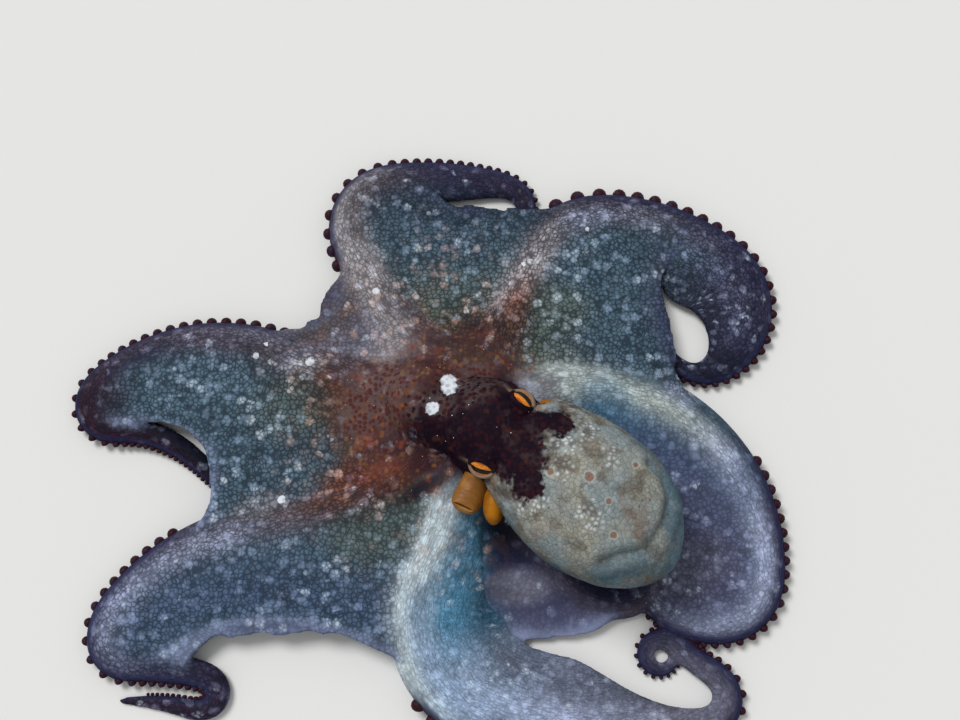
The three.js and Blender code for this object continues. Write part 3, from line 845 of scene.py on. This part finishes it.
PATTERNS = {
    "dark_skin": dark,
    "mantle_skin": on_mantle,
    "crown_skin": crown,
    "rusty_skin": rusty,
    "arm_skin": on_arm,
    "rim_skin": rim * ease((share_across - 0.35) / 0.3),
    "margin_skin": margins,
    "net": relaxed(net, edges, 20),
    "meshed": closeness(points, MESHED),
    "neck_skin": ease((52 - over_mantle[:, 0]) / 44) * on_mantle,
    "white_patch": closeness(points, WHITE_PATCHES),
    "ringed_spot": closeness(points, RINGED_SPOTS) * on_mantle,
    "pale_cluster": closeness(points, PALE_CLUSTERS) * on_mantle,
    "lower_lid": relaxed(lid_low, edges, 1),
}
colours = grown.attributes.new("tone", "FLOAT_COLOR", "POINT")
colours.data.foreach_set("color", np.column_stack([tones, np.ones(len(tones))]).ravel())
for pattern, strength in PATTERNS.items():
    grown.attributes.new(pattern, "FLOAT", "POINT").data.foreach_set("value", strength)
flow = grown.uv_layers.new(name="flow")
corners = np.empty(len(grown.loops), dtype=np.int64)
grown.loops.foreach_get("vertex_index", corners)
flow.data.foreach_set("uv", (np.column_stack([along_arm, across_arm])[corners] * MM).ravel())

fewer = skin.modifiers.new("fewer_faces", "DECIMATE")
fewer.ratio = SHARE_OF_FACES
skin.data = bpy.data.meshes.new_from_object(skin.evaluated_get(bpy.context.evaluated_depsgraph_get()))
skin.modifiers.clear()
bpy.data.meshes.remove(grown)
skin.data.name = "skin"
skin.data.shade_smooth()


class Link:
    """A socket of a material. Sums on it add Math nodes, and add() makes any other node."""

    def __init__(self, tree, socket=None):
        self.tree = tree
        self.socket = socket

    def fill(self, node, inputs):
        """The node's sockets: a link is joined to its socket, and a number or colour is set on it."""
        for name, value in inputs.items():
            if isinstance(value, Link):
                self.tree.links.new(value.socket, node.inputs[name])
            else:
                node.inputs[name].default_value = value

    def add(self, kind, inputs, output=0, **settings):
        node = self.tree.nodes.new(kind)
        for name, value in settings.items():
            setattr(node, name, value)
        self.fill(node, inputs)
        return Link(self.tree, node.outputs[output])

    def sum_of(self, operation, *values):
        return self.add("ShaderNodeMath", dict(enumerate(values)), operation=operation)

    def __add__(self, other):
        return self.sum_of("ADD", self, other)

    def __radd__(self, other):
        return self.sum_of("ADD", other, self)

    def __sub__(self, other):
        return self.sum_of("SUBTRACT", self, other)

    def __rsub__(self, other):
        return self.sum_of("SUBTRACT", other, self)

    def __mul__(self, other):
        return self.sum_of("MULTIPLY", self, other)

    def __rmul__(self, other):
        return self.sum_of("MULTIPLY", other, self)

    def __truediv__(self, other):
        return self.sum_of("DIVIDE", self, other)

    def __abs__(self):
        return self.sum_of("ABSOLUTE", self)

    def rises(self, start, end):
        """0 below start, 1 above end and smooth between. With start above end it falls."""
        ends = {"Value": self, "From Min": min(start, end), "From Max": max(start, end)}
        low, high = (0.0, 1.0) if start < end else (1.0, 0.0)
        return self.add(
            "ShaderNodeMapRange", {**ends, "To Min": low, "To Max": high}, interpolation_type="SMOOTHSTEP"
        )

    def mixed(self, other, share):
        """Between this number and another."""
        return self.add("ShaderNodeMix", {0: share, 2: self, 3: other}, 0)

    def painted(self, other, share):
        """This colour with another, or a tone of TONES, over it. The node's inputs 6 and 7 are its colours."""
        other = tone_socket(other) if isinstance(other, str) else other
        return self.add("ShaderNodeMix", {0: share, 6: self, 7: other}, 2, data_type="RGBA")

    def plain(self, colour):
        flat = self.add("ShaderNodeRGB", {})
        flat.socket.default_value = colour
        return flat

    def attribute(self, name, output="Fac"):
        return self.add("ShaderNodeAttribute", {}, output, attribute_name=name)

    def place(self):
        """Where the surface is, in millimetres."""
        return self.add("ShaderNodeTexCoord", {}, "Object").scaled(1 / MM)

    def scaled(self, amount):
        """A vector or a colour times a number."""
        return self.add("ShaderNodeVectorMath", {0: self, "Scale": amount}, operation="SCALE")

    def part(self, number):
        return self.add("ShaderNodeSeparateColor", {"Color": self}, number)


def new_material(name):
    """A material, the start of its links and its Principled shader."""
    material = bpy.data.materials.new(name)
    material.use_nodes = True
    tree = material.node_tree
    return material, Link(tree), tree.nodes["Principled BSDF"]


def tone_socket(tone):
    return (*paint(tone), 1)


skin_material, link, shader = new_material("octopus_skin")
place = link.place()


def noise_of(coordinates, size, detail=2, output="Fac"):
    return coordinates.add("ShaderNodeTexNoise", {"Vector": coordinates, "Scale": 1 / size, "Detail": detail}, output)


def cells_of(coordinates, size, output="Distance", feature="F1", **inputs):
    inputs = {"Vector": coordinates, "Scale": 1 / size, **inputs}
    return coordinates.add("ShaderNodeTexVoronoi", inputs, output, feature=feature)


def shifted(coordinates, size, amount):
    """Coordinates moved about a little, so that a pattern on them is uneven."""
    moved = noise_of(coordinates, size, 2, "Color")
    moved = moved.add("ShaderNodeVectorMath", {0: moved, 1: (0.5,) * 3}, operation="SUBTRACT").scaled(amount)
    return moved.add("ShaderNodeVectorMath", {0: coordinates, 1: moved}, operation="ADD")


def bumped(height, strength, depth):
    """A bump with its depth in millimetres."""
    return height.add("ShaderNodeBump", {"Strength": strength, "Distance": depth * MM, "Height": height})


def blotched(colour, tone, size, start, end, strength, detail=3):
    """Soft blotches of a tone, about as big as the size. A smaller gap from start to end gives them harder edges."""
    return colour.painted(tone, noise_of(place, size, detail).rises(start, end) * strength)


broad = noise_of(place, 24, 3)
middling = noise_of(place, 11, 2)
fine = noise_of(place, 4, 3)
grain = noise_of(place, 1.2, 2)
bare_tone = link.attribute("tone", "Color")

# Skin of web and arms: soft pale cells on a dark ground. On the arms they are drawn out along the arm.
NET = 2.7
NET_EVENNESS = 0.85
FINER = (0.93, 1.3, 1)  # on the arms the cells are smaller, and longer than wide
SPOTS = 6.2
STREAKS = (0.16, 1.1, 1)
web_place = shifted(place, 6, 2.5)
flow_place = link.add("ShaderNodeUVMap", {}, uv_map="flow").scaled(1 / MM)
flow_place = link.add("ShaderNodeVectorMath", {0: flow_place, 1: FINER}, operation="MULTIPLY")
flow_place = shifted(flow_place, 6, 2.5)
on_arm_share = link.attribute("arm_skin")


def on_web_or_arm(size, output="Distance", feature="F1", part=None, **inputs):
    both = [cells_of(where, size, output, feature, **inputs) for where in (web_place, flow_place)]
    if part is not None:
        both = [chances.part(part) for chances in both]
    return both[0].mixed(both[1], on_arm_share)


inky = noise_of(place, 8, 3)
cell_edge = on_web_or_arm(NET, feature="DISTANCE_TO_EDGE", Randomness=NET_EVENNESS)
cell = (cell_edge - (inky - 0.45) * 0.3).rises(-0.02, 0.2)
cell = cell * on_web_or_arm(NET, Randomness=NET_EVENNESS).rises(0.85, 0.4)
chance = on_web_or_arm(NET, "Color", part=0, Randomness=NET_EVENNESS)
spot_chance = on_web_or_arm(SPOTS, "Color", part=0)
cluster = (broad - 0.5) * 1.6 + (middling - 0.5) * 1.2
spot = (on_web_or_arm(SPOTS) + (fine - 0.5) * 0.6 - spot_chance * 0.2).rises(0.48, 0.02)
spot = spot * (spot_chance + cluster).rises(0.2, 0.9)
in_rim = link.attribute("rim_skin")
shown = link.attribute("net") * (1 - in_rim * 0.7) * (1 - link.attribute("margin_skin") * 0.8)
rusty_spots = on_web_or_arm(SPOTS, "Color", part=1).rises(0.5, 0.75) * link.attribute("rusty_skin")
colour = bare_tone.painted("ochre", (0.2 + spot * 0.8) * rusty_spots * 0.55)
colour = colour.painted("umber", broad.rises(0.55, 0.75) * 0.25)
colour = blotched(colour, "night", 14, 0.5, 0.7, (1 - in_rim) * 0.3)
colour = colour.scaled(0.98 + (chance * 0.5 + spot * 1.1) * shown)
colour = colour.painted("lavender", spot * shown * 0.3)
colour = colour.painted("night", (1 - cell) * (0.72 - spot * 0.35) * shown)
flecks = cell * spot * (spot_chance + cluster * 0.8).rises(0.8, 1.1) * (1 - in_rim * 0.8)
colour = colour.painted("white", flecks * 0.7)

# Streaks that follow the arms towards their tips.
streak = noise_of(link.add("ShaderNodeVectorMath", {0: flow_place, 1: STREAKS}, operation="MULTIPLY"), 1, 3)
colour = colour.scaled(1 + (streak - 0.5) * 1.6 * on_arm_share)

# The crown: round dark red cells in a paler mesh, some of them glowing orange.
CROWN_CELL = 3.1
CROWN_EVENNESS = 0.8
crown_place = shifted(place, 5, 2)
crown_dots = cells_of(crown_place, CROWN_CELL, Randomness=CROWN_EVENNESS) + (grain - 0.5) * 0.16
crown_dots = crown_dots.rises(0.66, 0.26)
crown_chance = cells_of(crown_place, CROWN_CELL, "Color", Randomness=CROWN_EVENNESS).part(0)
meshed = (link.attribute("meshed") + (middling - 0.5) * 0.5).rises(0.15, 0.6)
in_dark = link.attribute("dark_skin").rises(0.0, 0.4)
on_crown = (link.attribute("crown_skin") + (middling - 0.5) * 0.5).rises(0.25, 0.75)
glowing = crown_dots * (crown_chance + broad * 0.4).rises(0.95, 1.15)
crown_colour = blotched(bare_tone.painted(colour, 0.6), "ember", 10, 0.56, 0.72, 0.6)
crown_colour = blotched(crown_colour, "ink", 13, 0.54, 0.7, 0.5)
crown_colour = crown_colour.painted("mesh", (0.05 + meshed * 0.42) * (1 - in_dark * 0.5))
crown_colour = crown_colour.painted("red", crown_dots * (0.25 + meshed * 0.55))
crown_colour = crown_colour.painted("ochre", glowing * 0.5)
colour = colour.painted(crown_colour, on_crown)

# The mantle: cobbles of pale skin parted by thin grey lines, some with a rusty middle. Near the neck it is mottled.
COBBLE = 2.9
FRECKLE = 5
cobble_place = shifted(place, 8, 1.5)
cobble_edge = cells_of(cobble_place, COBBLE, feature="DISTANCE_TO_EDGE")
cobble_chance = cells_of(cobble_place, COBBLE, "Color").part(1)
on_mantle_share = link.attribute("mantle_skin")
by_neck_share = link.attribute("neck_skin")
mantle_colour = bare_tone.painted("sand", broad.rises(0.42, 0.62) * 0.45)
mantle_colour = blotched(mantle_colour, "blue_grey", 19, 0.46, 0.68, 0.35)
mantle_colour = mantle_colour.scaled(0.8 + cobble_chance * 0.27)
mantle_colour = mantle_colour.painted("deep_slate", cobble_edge.rises(0.1, 0.01) * (broad * 0.5 + 0.15))
mantle_colour = blotched(mantle_colour, "umber", 7, 0.44, 0.6, by_neck_share * 0.75)
mantle_colour = blotched(mantle_colour, "cream", 9, 0.54, 0.66, by_neck_share * 0.6)
light_cobble = (link.attribute("pale_cluster") + (fine - 0.5) * 0.5).rises(0.3, 0.6)
light_cobble = light_cobble * cells_of(cobble_place, COBBLE).rises(0.5, 0.1)
mantle_colour = mantle_colour.painted("speck_and_glint", light_cobble * 0.6)
mantle_colour = blotched(mantle_colour, "umber", 12, 0.5, 0.66, 0.5)
mantle_colour = blotched(mantle_colour, "russet", 17, 0.55, 0.7, 0.22, detail=2)
freckle = (cells_of(place, FRECKLE) + (grain - 0.5) * 0.1).rises(0.2, 0.08)
freckle = freckle * cells_of(place, FRECKLE, "Color").part(0).rises(0.4, 0.6)
mantle_colour = mantle_colour.painted("umber", freckle * 0.6)
ring = link.attribute("ringed_spot") + (fine - 0.5) * 0.12
for tone, start, end, strength in (("cream", 0.35, 0.5, 0.45), ("russet", 0.55, 0.66, 0.8), ("umber", 0.8, 0.9, 0.6)):
    mantle_colour = mantle_colour.painted(tone, ring.rises(start, end) * strength)
colour = colour.painted(mantle_colour, on_mantle_share)

# The head's dark, with a ragged edge, faint red cells and a thin brown mesh.
dark_share = link.attribute("dark_skin") + (middling - 0.5) * 0.4 + (fine - 0.5) * 0.5 + (crown_dots - 0.5) * 0.1
dark_share = dark_share.rises(0.3, 0.52)
lower_lid_share = link.attribute("lower_lid")
head_mesh = middling.rises(0.5, 0.68) * 0.16 + meshed * 0.3
head_colour = link.plain(tone_socket("head")).painted("mesh", (1 - crown_dots) * head_mesh)
head_colour = head_colour.painted("red", crown_dots * crown_chance * 0.35)
head_colour = blotched(head_colour, "rust", 8, 0.58, 0.7, 0.35)
colour = colour.painted(head_colour, dark_share * (1 - lower_lid_share))
colour = colour.painted("lid", lower_lid_share * 0.85)

# White patches with ragged edges, and stray painted glints: tiny white highlights painted into the colour.
GLINT = 4.5
patch = (link.attribute("white_patch") + (fine - 0.5) * 0.55 + (grain - 0.5) * 0.2).rises(0.44, 0.6)
colour = colour.painted("speck_and_glint", patch * (0.6 + (1 - crown_dots) * 0.35))
# Painted highlights: tiny white glints, strongest on the dark head.
painted_glint = cells_of(place, GLINT).rises(0.08, 0.05) * cells_of(place, GLINT, "Color").part(2).rises(0.4, 0.5)
colour = colour.painted("speck_and_glint", painted_glint * (dark_share * 0.8 + link.attribute("crown_skin") * 0.5 + 0.15))

height = cobble_edge.rises(0, 0.25) * on_mantle_share * 0.4 + fine * 0.5 + grain * 0.15
height = height + cell * 0.4 * (1 - on_mantle_share) * (1 - dark_share)
roughness = 0.46 + fine * 0.16
link.fill(shader, {"Base Color": colour, "Roughness": roughness, "Specular IOR Level": 0.03})
link.fill(shader, {"Normal": bumped(height, 0.5, 0.6)})
skin.data.materials.append(skin_material)

# ---------- Suckers ----------
# Six of the arms carry suckers below. The outer row shows past the arm's edge as a saw of dark cups, smaller towards
# the tip, and each cup leans down to the ground.

SUCKER_LEAN = math.radians(50)
SUCKER_TURN = math.radians(28)  # towards the arm's tip, so that the row looks like a saw
SUCKER_SIDES = 12
SUCKER_SPACING = 2.35  # from cup to cup, in radii
SUCKER_OUTLINE = (  # (width, forwards), from the middle of its foot to the middle of its cup
    ((0, -1.0), (0.72, -0.96), (0.94, -0.5), (1.0, -0.1)) + ((1.0, 0.1), (0.84, 0.18), (0.6, 0.04), (0, -0.16))
)
SUCKER_RADIUS = {"right_1": 4.9, "right_2": 5.9, "right_3": 4.9, "left_3": 5.2, "left_2": 4.8, "left_1": 4.4}

cup = bmesh.new()
outline = [cup.verts.new((width, 0, forwards)) for width, forwards in SUCKER_OUTLINE]
run = [cup.edges.new(pair) for pair in zip(outline, outline[1:])]
bmesh.ops.spin(
    cup, geom=outline + run, axis=(0, 0, 1), cent=(0, 0, 0), angle=math.tau, steps=SUCKER_SIDES, use_merge=True
)
bmesh.ops.remove_doubles(cup, verts=cup.verts, dist=1e-4)
bmesh.ops.recalc_face_normals(cup, faces=cup.faces)
cup_mesh = bpy.data.meshes.new("cup")
cup.to_mesh(cup_mesh)
cup.free()

sucker_material, link, shader = new_material("sucker_skin")
place = link.place()
colour = link.plain(tone_socket("sucker"))
colour = blotched(colour, "indigo", 3, 0.45, 0.7, 0.6)
link.fill(shader, {"Base Color": colour, "Roughness": 0.5, "Specular IOR Level": 0.1})

for name, radius in SUCKER_RADIUS.items():
    arm = ARMS[name]
    cups = bmesh.new()
    along = arm.suckers_from + 4
    while along < arm.length * 0.96:
        here = np.array([float(along)])
        half_width, height, membrane = (measure[0] for measure in arm.sizes_at(here))
        size = radius * half_width / arm.half_width
        heading = math.radians(arm.heading_at(here)[0])
        outwards = Vector((-math.sin(heading), math.cos(heading), 0)) * arm.side
        at = Vector((*arm.middle_at(here)[0], max(WIDEST_AT * height, 0.8 * size))) + outwards * half_width
        onwards = Vector((math.cos(heading), math.sin(heading), 0))
        faces = outwards * math.cos(SUCKER_TURN) + onwards * math.sin(SUCKER_TURN)
        faces = faces * math.cos(SUCKER_LEAN) - Vector((0, 0, math.sin(SUCKER_LEAN)))
        turned = faces.to_track_quat("Z", "Y").to_matrix().to_4x4()
        last = len(cups.verts)
        cups.from_mesh(cup_mesh)
        cups.verts.ensure_lookup_table()
        placed = Matrix.Translation(at) @ turned @ Matrix.Scale(size, 4)
        bmesh.ops.transform(cups, matrix=placed, verts=cups.verts[last:])
        along += SUCKER_SPACING * size
    row = object_from(f"suckers_{name}", cups)
    row.data.materials.append(sucker_material)
    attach(row, "root")

# ---------- Eyes ----------
# A ball with an iris of bright orange above and grey below, crossed by a level slit of a pupil, under a clear wet
# cornea.

EYE_SEGMENTS = 72
PUPIL_HALF_LENGTH = 6.6
PUPIL_HALF_HEIGHT = 1.7
PUPIL_AT = -0.3  # below the middle of the opening
IRIS_ORANGE = (0.72, 0.235, 0.018, 1)
IRIS_RUST = (0.32, 0.075, 0.008, 1)
IRIS_BROWN = (0.16, 0.04, 0.01, 1)
IRIS_GREY = (0.13, 0.13, 0.17, 1)
PUPIL_BLACK = (0.004, 0.004, 0.006, 1)

iris_material, link, shader = new_material("iris")
gaze_place = link.add("ShaderNodeUVMap", {}, uv_map="gaze")
sideways = link.add("ShaderNodeSeparateXYZ", {0: gaze_place}, 0) / MM
upwards = link.add("ShaderNodeSeparateXYZ", {0: gaze_place}, 1) / MM
place = link.place()
mottle = noise_of(place, 1.1, 3)
colour = link.plain(IRIS_ORANGE)
colour = colour.painted(IRIS_RUST, mottle.rises(0.42, 0.66) * 0.55)
colour = colour.painted(IRIS_BROWN, upwards.rises(3.0, 4.4) * 0.8)
lower = (upwards + (mottle - 0.5) * 0.3).rises(-2.6, -3.0)
colour = colour.painted(IRIS_GREY, lower)
bar = 1 - (sideways / PUPIL_HALF_LENGTH) * (sideways / PUPIL_HALF_LENGTH)
bar = bar.sum_of("MAXIMUM", bar, 0.0)
bar = bar.sum_of("POWER", bar, 0.3) * PUPIL_HALF_HEIGHT
pupil = (abs(upwards - PUPIL_AT) - bar).rises(0.12, -0.12)
colour = colour.painted(PUPIL_BLACK, pupil)
link.fill(shader, {"Base Color": colour, "Roughness": 0.3, "Specular IOR Level": 0.1})
link.fill(shader, {"Coat Weight": 0.25, "Coat Roughness": 0.04})

for side, eye in EYES.items():
    ball = bmesh.new()
    bmesh.ops.create_uvsphere(ball, u_segments=EYE_SEGMENTS, v_segments=EYE_SEGMENTS // 2, radius=EYE_RADIUS)
    gaze_map = ball.loops.layers.uv.new("gaze")
    for face in ball.faces:
        for corner in face.loops:
            corner[gaze_map].uv = corner.vert.co.xy * MM
    move_points(ball, lambda points: eye + points @ EYE_AXES[side])
    bmesh.ops.recalc_face_normals(ball, faces=ball.faces)
    eyeball = object_from(f"eyeball_{side}", ball)
    eyeball.data.materials.append(iris_material)
    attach(eyeball, "root")
    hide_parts(f"eye_{side}")

# ---------- Funnel ----------
# The tube that the animal breathes out and swims through. It comes from under the head on the left, and its soft end
# closes to a slit.

FUNNEL_BASE = np.array([12, -36, 40])
FUNNEL_TOWARDS = np.array([0, -62, 31])
FUNNEL_LENGTH = 33
FUNNEL_BEND = math.radians(72)  # its end is turned up, so that the slit is seen from above
# Along its outside and back in through the slit: the share of its length, and half its width and height there.
FUNNEL_OUTLINE = (
    (0, 6.8, 6.8),
    (0.2, 7.6, 7.4),
    (0.42, 8.4, 8.0),
    (0.62, 8.9, 8.2),
    (0.76, 8.9, 7.8),
    (0.88, 8.2, 6.2),
    (0.96, 7.0, 3.8),
    (1.0, 6.0, 1.6),
    (0.975, 5.4, 0.35),
    (0.88, 4.4, 1.4),
    (0.8, 2.0, 1.2),
)
FUNNEL_STEPS = 44
FUNNEL_SIDES = 44


def funnel_skin(share_along, share_around):
    stops = np.linspace(0, 1, len(FUNNEL_OUTLINE))
    share, wide, high = (np.interp(share_along, stops, column) for column in np.array(FUNNEL_OUTLINE).T)
    axis = (FUNNEL_TOWARDS - FUNNEL_BASE) / np.linalg.norm(FUNNEL_TOWARDS - FUNNEL_BASE)
    level = np.cross(UPWARDS, axis) / np.linalg.norm(np.cross(UPWARDS, axis))
    above = np.cross(axis, level)
    walked = np.linspace(0, 1, 200)
    bends = FUNNEL_BEND * ease((walked - 0.45) / 0.5)
    onwards = np.interp(share, walked, np.cumsum(np.cos(bends)) / 200) * FUNNEL_LENGTH
    raised = np.interp(share, walked, np.cumsum(np.sin(bends)) / 200) * FUNNEL_LENGTH
    bend = np.interp(share, walked, bends)
    turn = share_around * math.tau
    onwards = onwards - high * np.sin(turn) * np.sin(bend)
    raised = raised + high * np.sin(turn) * np.cos(bend)
    return FUNNEL_BASE + np.outer(onwards, axis) + np.outer(wide * np.cos(turn), level) + np.outer(raised, above)


funnel = object_from("funnel_tube", tube(FUNNEL_STEPS, FUNNEL_SIDES, funnel_skin)[0])
funnel_material, link, shader = new_material("funnel_skin")
place = link.place()
colour = link.plain((0.24, 0.10, 0.018, 1))
colour = blotched(colour, (0.13, 0.04, 0.012, 1), 7, 0.42, 0.7, 0.6)
colour = blotched(colour, (0.42, 0.22, 0.08, 1), 11, 0.5, 0.72, 0.5, detail=2)
link.fill(shader, {"Base Color": colour, "Roughness": 0.38, "Specular IOR Level": 0.15})
link.fill(shader, {"Normal": bumped(noise_of(place, 2, 3), 0.3, 0.4)})
funnel.data.materials.append(funnel_material)
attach(funnel, "root")
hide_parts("funnel")

# ---------- Lining of the mantle's opening ----------
# Smooth ochre flesh that bulges from the mantle's opening on each side of the neck, where water is drawn in.

LINING_STEPS = 40

lining_material, link, shader = new_material("lining_skin")
place = link.place()
colour = link.plain((0.4, 0.15, 0.008, 1))
colour = blotched(colour, (0.2, 0.07, 0.012, 1), 8, 0.4, 0.7, 0.7)
link.fill(shader, {"Base Color": colour, "Roughness": 0.36, "Specular IOR Level": 0.06})
for side in GAZE:
    low, high = (np.array(corner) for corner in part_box(f"lining_{side}"))
    middle, half = ((low + high) / 2 - MOUTH) / MM, (high - low) / 2 / MM
    lobe = bmesh.new()
    bmesh.ops.create_uvsphere(lobe, u_segments=LINING_STEPS, v_segments=LINING_STEPS // 2, radius=1)
    move_points(lobe, lambda points: middle + half * points)
    lining = object_from(f"lining_lobe_{side}", lobe)
    lining.data.materials.append(lining_material)
    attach(lining, "root")
    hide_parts(f"lining_{side}")

# ---------- Stage ----------
# A pale floor, a soft even light from all round, a broad lamp high on the left, and a camera that looks steeply down.

CAMERA_AIM = np.array([9.3, 35.1, 0])  # the middle of the view, on the ground
CAMERA_ELEVATION = math.radians(75)
CAMERA_ANGLE = math.radians(45)
VIEW_WIDTH = 600
FLOOR_SIZE = 4
LAMP_STRENGTH = 2.1
LAMP_ANGLE = math.radians(25)
LAMP_FROM = (-0.55, 0.5, 1.1)
LIGHT_ALL_ROUND = 0.5

camera_data = bpy.data.cameras.new("camera")
camera_data.angle = CAMERA_ANGLE
camera = put_in_scene("camera", camera_data)
distance = VIEW_WIDTH / 2 / math.tan(CAMERA_ANGLE / 2)
backwards = np.array([0, -math.cos(CAMERA_ELEVATION), math.sin(CAMERA_ELEVATION)])
camera.location = (CAMERA_AIM + distance * backwards) * MM + MOUTH
camera.rotation_euler = (math.pi / 2 - CAMERA_ELEVATION, 0, 0)
bpy.context.scene.camera = camera
bpy.context.scene.view_settings.view_transform = "Standard"

floor_mesh = bpy.data.meshes.new("floor")
floor_part = bmesh.new()
bmesh.ops.create_grid(floor_part, x_segments=1, y_segments=1, size=FLOOR_SIZE)
floor_part.to_mesh(floor_mesh)
floor_part.free()
floor = put_in_scene("floor", floor_mesh)
floor_material, link, shader = new_material("floor_paint")
link.fill(shader, {"Base Color": (0.74, 0.74, 0.73, 1), "Roughness": 0.9})
floor_mesh.materials.append(floor_material)

world = bpy.data.worlds.new("soft_light")
world.use_nodes = True
Link(world.node_tree).fill(world.node_tree.nodes["Background"], {"Color": (1, 1, 1, 1), "Strength": LIGHT_ALL_ROUND})
bpy.context.scene.world = world
lamp_data = bpy.data.lights.new("lamp", "SUN")
lamp_data.energy = LAMP_STRENGTH
lamp_data.angle = LAMP_ANGLE
lamp = put_in_scene("lamp", lamp_data)
lamp.rotation_euler = Vector(LAMP_FROM).to_track_quat("Z", "Y").to_euler()
